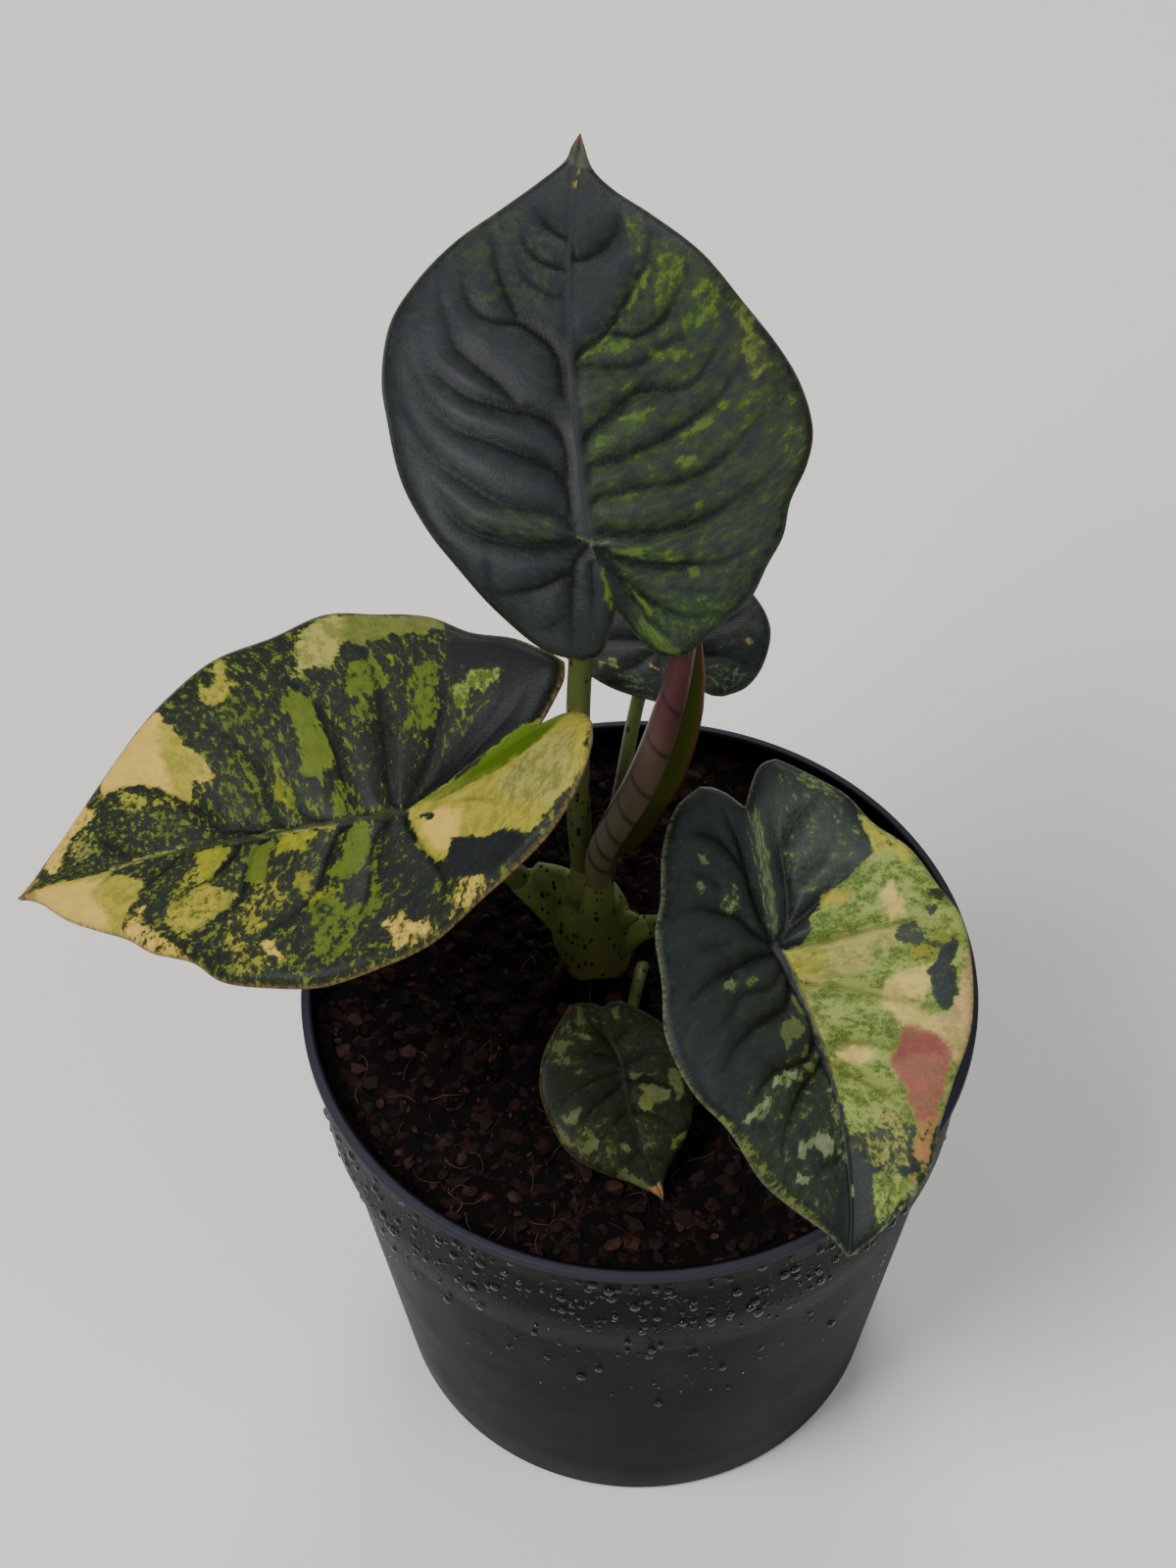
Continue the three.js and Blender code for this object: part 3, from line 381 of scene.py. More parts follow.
# Areas of each blade, each with its colour, the share of it that is light tissue and its corners
AREAS = {
    "crown": [
        (OLIVE, 0.11, [(-2, 34), (8, 50), (13, 62), (22, 57), (34, 42), (42, 28), (42, 14), (36, -2),
            (28, -13), (17, -22), (10, -20), (6, -8), (0, 0)]),
        (GREEN, 0.06, [(-6, 4), (-14, 6), (-22, 6), (-24, 1), (-14, -1), (-6, -1)]),
        (OLIVE, 0.04, [(-8, 44), (-20, 46), (-28, 56), (-20, 66), (-12, 66), (-6, 56)]),
        (GREEN, 0.95, [(4.8, 41.3), (8, 44), (10.5, 48.5), (12.8, 52.5), (12.4, 54), (10.6, 52),
            (7.6, 46.5)]),
        (GREEN, 1, [(-2, 34.6), (-1, 36), (1.4, 37.3), (4.9, 41), (5.4, 40.6), (1.6, 36.8), (-1, 34.7)]),
        (GREEN, 0.72, [(-2, 34.3), (2, 35.2), (7, 36), (9.5, 37.2), (8, 39), (4, 39.2), (1.6, 37)]),
        (OLIVE, 0.5, [(9, 56), (8, 61), (7.4, 65), (10.4, 66), (12, 60), (10.8, 56)]),
        (OLIVE, 0.6, [(13.5, 42.5), (13, 50), (14, 57), (19, 56), (18.5, 50), (16, 45)]),
        (GREEN, 0.85, [(18.6, 39.5), (21.5, 41), (25.5, 43), (25, 45), (21.5, 46.6), (19.4, 44),
            (17.6, 41.3)]),
        (OLIVE, 0.6, [(20, 47), (21, 52), (25, 50), (27, 46), (24, 45.6)]),
        (OLIVE, 0.85, [(11.5, 35.2), (14.8, 37), (20.4, 35.6), (20, 34.4), (15, 34.2)]),
        (KHAKI, 0.72, [(26.4, 46.4), (30, 46.6), (33, 43.6), (31, 40.5), (28.6, 42.6)]),
        (KHAKI, 0.58, [(29.6, 38.5), (31.6, 41.5), (34, 39), (35, 34), (32.6, 31), (30.6, 34)]),
        (GREEN, 0.9, [(5, 21.6), (9, 22), (13, 23.6), (13.8, 24.6), (10.4, 24.8), (6.6, 23.2)]),
        (GREEN, 0.6, [(0.4, 15.4), (5, 17), (10, 19.6), (8, 22.6), (2, 20.6)]),
        (GREEN, 0.76, [(17, 17.6), (20.6, 19.2), (24.6, 22.4), (27, 26), (25.4, 25.4), (21.4, 21.8),
            (17.4, 19)]),
        (GREEN, 0.94, [(15.8, 13), (18.4, 13.2), (20.6, 14.4), (20.4, 15.8), (17.4, 15.6)]),
        (OLIVE, 0.75, [(24.4, 27.4), (26.6, 29.4), (26.6, 31), (24.6, 29.6)]),
        (GREEN, 0.62, [(2, 6.4), (8, 6.6), (13, 8.6), (13, 9.6), (8, 8.4), (3, 7.6)]),
        (GREEN, 0.8, [(19.6, 5.4), (22, 6.4), (22, 7.8), (20, 7.2)]),
        (GREEN, 0.62, [(3, -1.6), (9, -2.2), (17, -2.4), (18, -4.2), (11, -4.2), (5, -3)]),
        (GREEN, 0.85, [(18.4, -5.6), (20.4, -5.4), (21.2, -7.4), (19.4, -8.2)]),
        (OLIVE, 0.42, [(29, 26), (33, 30), (36, 29), (35, 24), (31, 20), (28, 21)]),
        (KHAKI, 0.3, [(37, 20), (39, 28), (42, 27), (42.6, 20), (41, 14), (38, 15)]),
        (LIME, 1, [(5.4, -6.4), (6.4, -7), (9, -10.2), (11.4, -12.4), (13.4, -15), (12.2, -15.6),
            (10.4, -14.6), (9.4, -12.6)]),
        (GREEN, 0.9, [(9, -13), (10.6, -15.6), (13.6, -18), (18, -21.6), (16.6, -23), (12, -21),
            (9.6, -17.6)]),
        (LIME, 1, [(1.8, -5.2), (2.5, -5.6), (3.8, -10), (4.8, -14), (3.9, -13.6), (2.8, -10)]),
        (GREEN, 0.4, [(14, -10), (22, -11), (28, -12), (24, -17), (17, -19), (12, -15)]),
        (STRAW, 0.9, [(-2.6, 71.4), (-1.8, 71.4), (-1.5, 73.4), (-2.4, 73.4)]),
        (STRAW, 0.9, [(-1.6, 75), (-0.9, 75), (-0.7, 76.6), (-1.4, 76.6)]),
        (LILAC, 0.9, [(-0.6, -0.4), (2, -0.6), (4.4, -0.8), (4.6, -1.4), (3, -1.6), (0, -1.7)]),
        (KHAKI, 0.8, [(-2.8, 0.6), (-1, 0.4), (-0.6, -0.8), (-2, -0.6)]),
        (DUSK, 0.9, [(-4, 79), (-2.6, 83), (-1.5, 85.4), (-0.4, 85.4), (0.2, 82), (1.6, 77.4),
            (-0.8, 76.6)]),
        (RUST, 1, [(-1.7, 84.6), (-0.3, 84.6), (-0.6, 88), (-1.2, 88)]),
    ],
    "left": [
        (OLIVE, 0.14, [(-3, 3), (-12, 2), (-24, 2), (-34, -4), (-24, -13), (-12, -8), (-3, -3)]),
        (OLIVE, 0.12, [(2, -4), (2, 7), (16, 8), (24, 4), (16, 0), (12, -6), (22, -14), (26, -24),
            (34, -30), (40, -14), (34, -12), (22, -11), (12, -8)]),
        (NO_LIGHT, 1, [(4, -5), (10, -9), (18, -16), (24, -22), (30, -26), (32, -14), (43, -13),
            (36, -36), (22, -38), (15, -29), (9, -16)]),
        (STRAW, 1, [(2.4, 89), (1.7, 80), (-1, 71), (-0.8, 65), (-3, 63), (-5.4, 58), (-9, 54.6),
            (-14, 54.6), (-19, 57), (-23, 57), (-15, 70), (-4, 83)]),
        (CREAM, 1, [(1, 84), (-1.8, 72), (-4, 66), (-9, 68), (-14, 63), (-19, 61), (-14, 70), (-4, 83)]),
        (CREAM, 0.8, [(-22, 57), (-17, 54), (-16, 52), (-21, 52.5), (-25, 49.5), (-27, 46.5), (-32, 41.6),
            (-36, 39), (-31, 49), (-26, 56)]),
        (STRAW, 0.86, [(-30, 42), (-27, 44), (-22, 47), (-18, 46.5), (-15, 45), (-14, 42), (-11, 42),
            (-11, 38.5), (-15, 38.5), (-17, 36), (-18, 33), (-20, 31), (-24, 34), (-28, 38)]),
        (STRAW, 0.6, [(-14, 45), (-9, 44.5), (-8, 42), (-9, 40), (-13, 41)]),
        (YELLOW, 1, [(-7, 43), (-3, 43.4), (-2.4, 38.5), (-3, 36), (-6, 37), (-12, 39), (-12, 41),
            (-8, 41.5)]),
        (OLIVE, 1, [(-15, 31), (-10, 31), (-4, 31.3), (-3, 30), (-3, 27), (-8, 26.5), (-12, 26.5),
            (-18, 26), (-17, 29)]),
        (YELLOW, 1, [(-10, 25), (-5, 25), (-2.6, 25), (-2.4, 20), (-3, 17), (-5, 17), (-7, 19.5),
            (-10, 18.5), (-8, 22)]),
        (YELLOW, 0.9, [(-24, 17.5), (-20, 19.5), (-16, 20), (-16, 17.5), (-19, 16), (-20, 15), (-23, 14),
            (-23, 11), (-25.5, 12)]),
        (OLIVE, 0.96, [(-20, 11), (-14, 11), (-8, 10.5), (-3, 10), (-1.5, 7), (-5, 6), (-9, 5.2),
            (-14, 6), (-19, 8)]),
        (OLIVE, 0.85, [(-17, 5), (-10, 4.6), (-8, 3.8), (-24, 2.6), (-24, 3.6)]),
        (OLIVE, 0.8, [(-30, 8), (-27, 6), (-24, 3), (-26, 0.5), (-29, 2), (-33, 6)]),
        (STRAW, 0.5, [(-42, 27), (-37, 30), (-33, 33), (-28, 33), (-22, 30), (-18, 28), (-18, 22),
            (-24, 20), (-30, 24), (-34, 27), (-40, 22)]),
        (CREAM, 0.96, [(-38, 23), (-34, 25.5), (-33.5, 23.5), (-36, 21), (-38.5, 20.5)]),
        (OLIVE, 0.64, [(-41, 13), (-36, 14), (-30, 16), (-26, 18), (-24, 12), (-28, 9), (-34, 6),
            (-40, 7)]),
        (CREAM, 0.8, [(-40, -2), (-36, -1), (-33, 1), (-31, -3), (-34, -6), (-33, -10), (-35, -12),
            (-38, -8)]),
        (CREAM, 0.7, [(-34, -14), (-30, -16), (-26, -17), (-26, -22), (-28, -23), (-32, -19)]),
        (STRAW, 1, [(0, -1.5), (-5, -2.6), (-9, -4), (-13, -5), (-18, -9.5), (-19, -14), (-18.5, -18),
            (-16, -22), (-16, -27), (-18, -32), (-19, -35), (-16, -39), (-12, -44), (-8, -49), (2, -51),
            (8, -46), (13, -40), (17, -30), (13, -21), (8, -12), (4, -5)]),
        (CREAM, 1, [(-4, -6), (-9, -6.4), (-14, -9), (-16, -12.4), (-12, -15), (-6, -14.6), (-2, -10)]),
        (PALE, 1, [(-8, -28), (-2, -24), (4, -28), (4, -38), (0, -47), (-8, -46), (-14, -40)]),
        (OLIVE, 1, [(1, -3), (4, -6), (8, -14), (12, -21), (16.4, -29), (14, -38), (9, -43), (7, -36),
            (6, -22), (4, -12)]),
        (LEAF, 1, [(5.4, -14), (8, -15), (11.6, -23), (11, -33), (8, -39), (6.6, -30), (6, -22)]),
        (LIME, 1, [(9, -14), (15.4, -27), (14, -35), (12, -30), (10, -20)]),
        (NO_LIGHT, 0.95, [(-3, -3.4), (-2.2, -6.6), (-5, -8), (-5.6, -7.2), (-3.8, -5.6)]),
        (NO_LIGHT, 0.95, [(6.2, -11.2), (7.4, -11.4), (9.6, -15), (12, -19.4), (9.2, -16.4)]),
        (NO_LIGHT, 1, [(-16, -22), (-12.8, -13), (-24, -13), (-26, -22), (-22, -33), (-19, -32),
            (-16.4, -27)]),
        (CREAM, 0.95, [(9, 80), (11, 79), (16, 75), (18, 71), (16, 69), (14, 67), (12, 69), (11, 72),
            (10, 74), (7, 76), (5, 77), (4, 80), (6, 82)]),
        (PALE, 0.6, [(4, 73), (9, 74), (11, 70), (9, 67), (6, 66), (4.5, 68)]),
        (CREAM, 1, [(18, 66), (22, 65), (26, 60), (31, 54), (31.6, 51), (30, 49), (26, 47), (23, 46),
            (20, 42), (17, 40), (14, 39), (13, 42), (15, 43), (13, 44), (10, 44), (9, 46), (12, 49),
            (15, 52), (16.5, 56), (17.5, 60), (17, 64)]),
        (STRAW, 1, [(24, 50), (29, 50), (26, 47), (22, 45), (18, 41), (14, 40), (15, 43), (10, 44),
            (13, 48)]),
        (PALE, 0.85, [(-1.5, 64), (0, 65), (0.5, 62), (0.3, 55), (0, 47), (-1, 50), (-0.8, 57), (-1, 61)]),
        (STRAW, 0.72, [(11, 59), (15, 62), (16.5, 60), (14, 56), (11, 52), (11, 48), (7, 44), (2, 39),
            (1.5, 38), (5, 40), (9, 44.5), (13, 50), (13, 53), (10, 56)]),
        (OLIVE, 0.52, [(3, 52), (8, 53), (9, 50), (5, 46), (3, 47)]),
        (STRAW, 0.86, [(29, 38), (33, 41.5), (35, 41), (35, 38), (38, 39), (41, 38), (41, 36), (37, 35),
            (34, 34), (31, 35.5)]),
        (OLIVE, 0.44, [(2, 36), (12, 37), (20, 36), (26, 39), (32, 34), (28, 29), (20, 27), (12, 24),
            (4, 20), (2, 24)]),
        (YELLOW, 0.92, [(3, 22), (7, 26), (12, 27), (14, 25.5), (9, 24), (5, 21)]),
        (OLIVE, 0.96, [(10, 19.5), (12, 20), (20, 20), (24, 22.5), (28, 23), (31, 20), (28, 18), (25, 17),
            (20, 16), (17, 14.5), (13, 14), (10, 15.5)]),
        (OLIVE, 0.8, [(1, 15), (4, 13), (9, 13), (8, 11), (3, 9.5), (1, 7), (1, 12)]),
        (PALE, 1, [(33, 21), (40, 20.5), (42, 20.5), (45, 19), (47, 16), (47, 10), (44, 9), (40, 11),
            (37, 12), (34, 14), (35, 18)]),
        (KHAKI, 0.96, [(40, 10), (45, 12), (47, 10), (45, 2), (45, -8), (44, -11), (41, -11), (40, -5),
            (40, 3), (38, 7)]),
        (OLIVE, 0.86, [(26, 10), (30, 11), (35, 9), (36, 6), (33, 4), (28, 2), (27, 6)]),
        (OLIVE, 0.6, [(20, 8), (25, 10), (26, 6), (22, 5)]),
        (OLIVE, 0.74, [(17, 0), (19, -3), (18, -6), (21, -9), (27, -9), (33, -11), (34, -8), (32, -4),
            (29, -2), (26, -4), (22, -3)]),
        (SAGE, 0.85, [(22, -13), (26, -13), (30, -17), (30, -24), (27, -24), (25, -20), (26, -18),
            (22, -15)]),
        (BLUSH, 1, [(0, 84), (3, 92), (5.6, 85.6), (4.4, 83), (3, 87)]),
        (PALE, 0.8, [(-1.9, 34), (-1.3, 34), (-1.4, 20), (-0.9, 8), (-1.4, 8), (-2.2, 20)]),
        (PALE, 0.7, [(-0.5, 33), (0, 33), (-0.4, 20), (0.1, 8), (-0.4, 8), (-0.9, 20)]),
    ],
    "right": [
        (ASH, 0.14, [(-8, 44), (0, 58), (14, 48), (24, 36), (20, 30), (4, 24), (-4, 22)]),
        (ASH, 0.12, [(-12, -9), (-6, -10), (-4, -24), (-8, -38), (-18, -30), (-22, -20), (-20, -14)]),
        (SAGE, 1, [(-1.2, 1.3), (-2, 6), (-3.5, 13), (-5.3, 20), (-6.8, 27), (-7.7, 34), (-8.6, 41),
            (-13, 41.5), (-18, 44), (-23, 42), (-28, 42), (-33, 34), (-39, 24), (-41, 8), (-40, -2),
            (-36, -8), (-31, -15.5), (-25, -22), (-23.4, -20), (-24, -14.7), (-20, -12.5), (-15, -9.5),
            (-11, -6.5), (-7.5, -4), (-8.5, -2.5), (-8, -1), (-5, 0.5)]),
        (PALE, 1, [(-1.2, 1.3), (-2.5, 6), (-5.6, 18), (-7.2, 30), (-8, 31), (-7, 20), (-5, 11),
            (-10, 9.6), (-15, 8.5), (-19, 8), (-21, 5), (-25, 4), (-26, 2), (-20, 1.2), (-10, 1.2)]),
        (STRAW, 0.95, [(-2, 2), (-3.4, 6.6), (-9, 7), (-12, 4.4), (-8, 2.6)]),
        (BUTTER, 1, [(-31, 10), (-24, 10.5), (-22, 12), (-21, 14), (-25, 15.5), (-29, 16), (-31, 13)]),
        (BUTTER, 1, [(-32, 25), (-31, 21), (-28, 18), (-24, 16), (-21, 14.5), (-20, 16), (-23, 19),
            (-25, 21.5), (-29, 22.5)]),
        (BUFF, 1, [(-34, 33), (-32, 26), (-31, 20), (-33, 19.5), (-36, 17), (-38, 12), (-40, 8),
            (-41, 14), (-38, 24)]),
        (BUTTER, 1, [(-16, 27), (-12, 27), (-9, 26), (-9, 24), (-13, 23.5), (-17, 25)]),
        (STRAW, 1, [(-17, -8), (-12, -8.5), (-11, -7), (-15, -5.5), (-19, -7.5)]),
        (STRAW, 0.95, [(-31, -10), (-29, -14.5), (-24, -15), (-23.5, -19), (-22, -24), (-26, -21),
            (-32, -14)]),
        (BUTTER, 1, [(-28, -2), (-25, 0), (-24, -6), (-27, -8)]),
        (YELLOW, 0.8, [(-38, 4), (-36, 5), (-33, 4), (-29, 5.6), (-27, 9), (-31, 9), (-34, 7)]),
        (BURN, 1, [(-27, 41), (-24.6, 42), (-23, 40), (-22.4, 35), (-21.5, 31), (-19.7, 27.5),
            (-20.5, 25.5), (-22.5, 24), (-24, 21.5), (-26, 21.3), (-28, 23), (-31, 24), (-32.5, 26),
            (-32, 31), (-30, 35)]),
        (EMBER, 1, [(-22.5, 24.4), (-24.5, 22.4), (-28, 23.6), (-31, 25), (-31.4, 28), (-26, 27),
            (-21, 27.6)]),
        (BLUSH, 0.92, [(-28, 40), (-25, 47), (-24.4, 51), (-22, 50), (-21.4, 46), (-22.5, 43), (-24, 41)]),
        (NO_LIGHT, 1, [(-33.5, 19.5), (-31.5, 18.5), (-30.5, 14), (-31, 11), (-33, 9), (-34, 7),
            (-37, 5.5), (-38.5, 7), (-36, 10), (-36.5, 14), (-35.5, 17)]),
        (NO_LIGHT, 0.88, [(-31.5, 3), (-30.5, 5.5), (-28, 5), (-25.5, 3.5), (-25.5, 1.5), (-28, 1.2),
            (-30, 1.5)]),
        (NO_LIGHT, 0.55, [(-38, -3), (-36, -1), (-33, 0), (-33, -6), (-35, -8)]),
        (NO_LIGHT, 1, [(-8.5, -1.5), (-5, 0.5), (-1, 1), (-2.4, -1.5), (-6, -4), (-8, -4.2)]),
        (PALE, 0.52, [(-23, 42), (-20, 49), (-17, 50), (-13, 48), (-10, 46), (-9, 41.5), (-14, 41),
            (-17, 37), (-20, 39)]),
        (SAGE, 0.9, [(-23, 51), (-20, 56), (-16, 59.4), (-11, 61), (-11.5, 56), (-12.4, 50), (-15, 49),
            (-19, 51)]),
        (BLUSH, 0.85, [(-25, 50), (-22, 55), (-19.6, 55), (-20.4, 51)]),
        (NO_LIGHT, 1, [(-12, 60), (-9, 61), (-8, 52), (-8, 45), (-10, 44), (-12, 46), (-12.5, 50),
            (-11, 54)]),
        (FROST, 1, [(-3.5, 43), (-2, 45), (0, 45), (2, 43.5), (3, 42), (5, 43), (7, 45), (9, 44), (8, 42),
            (5, 41), (2, 40.5), (-1, 40), (-3, 41)]),
        (FROST, 0.9, [(6, 49), (8, 50), (11, 49), (9, 47.5), (6, 48)]),
        (FROST, 0.76, [(14, 34), (17, 36), (20, 36), (23, 36.5), (22, 35), (18, 33), (15, 32), (12, 32.5)]),
        (FROST, 0.8, [(2, 28), (5, 29.5), (10, 30), (13, 30), (11, 28), (7, 26.5), (3, 26)]),
        (MOSS, 0.65, [(-4, 27.5), (0, 28), (1, 26), (-2, 25)]),
        (MOSS, 0.92, [(-3, 24), (0, 24.5), (1, 23), (-2, 21.5)]),
        (MOSS, 1, [(3, 21), (5, 22), (6.5, 23.5), (7, 20), (7, 18), (4, 17), (1, 15.5), (-1, 17),
            (-2, 19), (1, 20)]),
        (MOSS, 0.72, [(0, 12), (2, 14), (4, 15), (1, 13), (0.3, 11)]),
        (MOSS, 0.75, [(-3, 19), (-1, 15), (-0.5, 10), (-1.5, 10), (-3, 15)]),
        (ASH, 0.62, [(9, 8), (13, 9.5), (14, 8), (10, 7)]),
        (ASH, 0.78, [(15, 9), (18, 11), (20, 10), (20, 8), (17, 7.5)]),
        (FROST, 0.52, [(9, -8), (12, -6), (15, -7), (15, -10), (10, -13), (9, -10)]),
        (ASH, 0.75, [(19, -11), (21, -10), (22, -12.5), (20, -13.5)]),
        (ASH, 0.62, [(17, -17), (19, -16.5), (20, -18.5), (17.5, -18.5)]),
        (FROST, 0.42, [(-7.5, 47), (-5, 46), (-4, 38), (-4, 32), (-6, 30), (-7, 36), (-7.5, 42)]),
        (FROST, 0.6, [(-8, 54), (-7, 54), (-7.3, 51), (-8, 51)]),
        (KHAKI, 0.46, [(-4, 65.5), (6, 57.4), (16, 50), (24, 40), (30, 33), (29, 32.6), (22.6, 39),
            (14, 48.6), (4, 56)]),
        (FROST, 0.45, [(-12, 62.6), (-20, 56.6), (-25, 50), (-23.8, 50), (-18, 56), (-11, 60.6)]),
        (ASH, 0.5, [(-20, -27), (-14, -30), (-11, -34), (-13, -36), (-18, -31)]),
        (ASH, 0.5, [(0, -2), (-0.8, -2), (-1.8, -12), (-2.3, -24), (-1.2, -31), (0.7, -28), (0.3, -14)]),
        (SAGE, 0.6, [(1.1, -4), (0.8, -4), (1.3, -14), (1.9, -26), (2.4, -26), (1.7, -14)]),
    ],
    # The front blade's patches are dull moss and khaki: their own colour, darkened with painted shade of its
    # shadow.
    "front": [
        (MOSS, 0.36, [(-4, 10), (-4, 18), (0, 20), (0.6, 10)]),
        (KHAKI, 0.36, [(4, 10), (6, 20), (12, 18), (15, 12), (11, 9)]),
        (KHAKI, 0.3, [(9, -3), (14, -3), (15, -8), (8, -15), (3, -14), (5, -8)]),
        (MOSS, 0.9, [(-11.6, 8), (-9.5, 9), (-8.7, 7), (-9, 3), (-9.5, 1.6), (-11, 1.8), (-11.5, 5)]),
        (MOSS, 1, [(-8, 9), (-5, 8.4), (-3, 8), (-3, 6), (-2, 4.5), (-5, 4), (-7, 5), (-8.3, 6.5)]),
        (KHAKI, 1, [(-4, 9.5), (-2, 9.8), (-1.3, 8), (-2, 6.7), (-3.8, 7.3)]),
        (MOSS, 0.76, [(-9, 3.6), (-6, 3), (-3, 1.5), (-1, 1.2), (-0.5, 3.8), (-2.5, 2.8), (-5, 2)]),
        (MOSS, 1, [(2, 17), (3.5, 17.6), (4.8, 16.3), (3, 15), (2, 15.7)]),
        (MOSS, 1, [(8.3, 14), (9.5, 15), (13, 15.6), (13.5, 14.7), (10.5, 13.3), (9, 12.9)]),
        (MOSS, 1, [(11, 7), (13, 9.2), (14.7, 8.5), (15.4, 7), (13.5, 7), (12, 6), (11.3, 6)]),
        (MOSS, 0.86, [(15, 13), (16.3, 12.5), (17.3, 9.5), (16.5, 8.3), (15.5, 9), (14.7, 11)]),
        (MOSS, 0.66, [(7.4, 7), (9, 7.8), (8, 6.2)]),
        (MOSS, 0.8, [(8, -1), (11, -0.7), (10.5, -1.9), (8.7, -2.3)]),
        (MOSS, 0.6, [(11.3, -2.8), (12.6, -4.5), (11, -5)]),
        (MOSS, 0.86, [(10, -8), (11, -6), (13.2, -5.5), (13.4, -7.5), (12, -8.8)]),
        (MOSS, 0.86, [(4.7, -7.4), (6.5, -7.8), (8, -9.3), (6, -9.6)]),
        (MOSS, 0.84, [(5.6, -11), (7.4, -11), (7.3, -14.7), (5.9, -14.7)]),
        (MOSS, 0.84, [(-1.4, -10.7), (-0.2, -11), (0, -13), (-2.3, -13.3)]),
        (MOSS, 0.92, [(-0.5, 27), (4, 24.2), (7, 22), (6.6, 20.8), (3, 22.5), (0, 24.5)]),
        (MOSS, 0.72, [(4, 22), (6.5, 22.6), (6.8, 20.4), (4, 20.4)]),
        (KHAKI, 0.8, [(-10.4, 17.3), (-6.3, 18.8), (-6.2, 16.4), (-9.8, 15.7)]),
        (BLUSH, 1, [(-3.2, 29.4), (-1, 29.4), (0.2, 26), (-2, 25), (-3.2, 26)]),
        (MOSS, 0.92, [(16.2, -3.5), (17.6, -2.6), (17.2, -4.4)]),
        (OLIVE, 0.5, [(1.5, -10), (2.2, -10), (2.4, -14), (1.6, -14)]),
    ],
    "back": [
        (NO_LIGHT, 0.9, [(-20, 6), (-12, 24), (0, 40), (12, 26), (22, 6), (10, 0), (-8, 0)]),
        (CREAM, 1, [(-4.2, -3.2), (-3.2, -3.5), (-1.5, -5.4), (-0.2, -6.6), (-1.5, -6.9), (-2.7, -5.4)]),
        (PALE, 0.75, [(-10.9, -2.4), (-9, -2.8), (-9.2, -5.6), (-10.6, -5)]),
        (PALE, 0.5, [(-12.8, -2.8), (-11.5, -3.6), (-13, -4.6)]),
        (PALE, 0.7, [(18, -4.1), (20, -4.4), (19.6, -5.8), (18.4, -5.4)]),
        (ASH, 0.4, [(8, -8), (12, -8), (18, -12), (12, -14), (8, -12)]),
        (ASH, 0.3, [(-10, -6), (-6, -6), (-2, -10), (-4, -13), (-9, -9)]),
    ],
}
# Distance from the midrib over which a blade's fold is rounded
FOLD_SOFTNESS = 3.0
# Share of a half's rows that lie ahead of the joint
JOINT_SHARE = 2 / 3
# On a blade of size 1: how far the tip is from the joint, and how wide a side vein and its crease are
LARGEST_BLADE = 85
VEIN_WIDTH, CREASE_WIDTH = 0.6, 2.5
# Mottling is worked out on a plane of its own: how far a blade reaches on it from tip to lobe and out
# from the midrib, what share of a length along the veins is left, and how far apart its parts are kept
STREAK_DOWN, STREAK_OUT, STREAK_SHARE = 130, 42, 0.58
HALVES_APART, WEBS_APART = 40, 20
# How far apart the two halves are kept where marks follow the flat blade
FLATS_APART = 200
# The level that gives a share of light tissue, once islands of noise from 0 to 1 are added to it
SHARES = (0, 0.05, 0.14, 0.3, 0.5, 0.8, 0.95, 1)
LEVELS = (-0.1, 0.12, 0.25, 0.38, 0.5, 0.7, 0.88, 1.2)

# Petioles: path and radii, running on into the stem or the mix at one end
PETIOLES = {
    "crown": (
        [(-11.4, 10.6, 20), (-11.7, 10.7, 30), (-12.7, 11, 47), (-13, 11.2, 72), (-12, 11.6, 103),
            (-10, 12, 137.5)],
        (2.6, 2.6, 2.5, 2.4, 2.3),
    ),
    "left": (
        [(-15, 9.8, 13), (-20.5, 11, 22.5), (-27, 11.4, 31), (-39, 6.5, 53), (-49, -3.5, 71.5)],
        (2.8, 2.8, 2.6, 2.3, 2.2),
    ),
    "right": (
        [(-3.6, 8, 12), (0.8, 7.1, 16.9), (4.6, 5.8, 19.6), (16, -3.5, 29), (28, -16, 41.5)],
        (2.2, 2.2, 2.1, 2.0, 1.9),
    ),
    "back": (
        [(-7.6, 13.4, 18), (-6.5, 14, 33), (-3.5, 19, 54), (-0.3, 24.5, 73), (3, 28, 87.5)],
        (1.9, 1.8, 1.6, 1.5, 1.5),
    ),
    "front": (
        [(1.3, 9, -13), (0.9, 8, 0), (-0.3, 1, 3.6), (-2.2, -13, 10), (-4, -30.5, 17.5)],
        (1.7, 1.5, 1.35, 1.25, 1.2),
    ),
}

# Length over which each petiole rounds off at its blade
PETIOLE_END = 4.0

# The stem: rings of its trunk, then the sheaths that leave it, each a path and its radii, and the size
# of the voxels that make one skin of them
STEM_VOXEL = 0.55
TRUNK = [
    ((-9.2, 9, -6), 6.9), ((-9.2, 9, 0), 6.9), ((-9.4, 9, 6), 8.0), ((-9.8, 9.3, 14), 8.6),
    ((-10, 9.2, 21), 7.8), ((-10.2, 8.6, 27), 6.2),
]
SHEATHS = [
    ([(-11.4, 10.4, 22), (-11.6, 10.6, 29), (-11.8, 10.7, 36)], (4.2, 3.7, 2.9)),
    ([(-8.6, 6, 20), (-8.9, 5.6, 30), (-9.1, 5.5, 37)], (3.6, 3.8, 2.9)),
    ([(-12, 9, 10), (-18.5, 10.8, 20), (-26, 11.4, 29.5)], (4.6, 4.4, 3.1)),
    ([(-11.5, 10.5, 20), (-17, 12, 28), (-22.5, 12.4, 32)], (3.6, 3.4, 1.6)),
    ([(-6, 8.6, 8), (-1, 7.4, 15.2), (3.4, 6.4, 18.6)], (4.4, 3.6, 2.4)),
    ([(-6.5, 7.6, 18), (-3, 6.2, 22), (0, 5.4, 22.6)], (3.4, 2.4, 0.8)),
    ([(-14.6, 6.5, 7), (-17.2, 6.2, 13), (-18.4, 6.4, 19)], (2.4, 1.8, 0.8)),
]

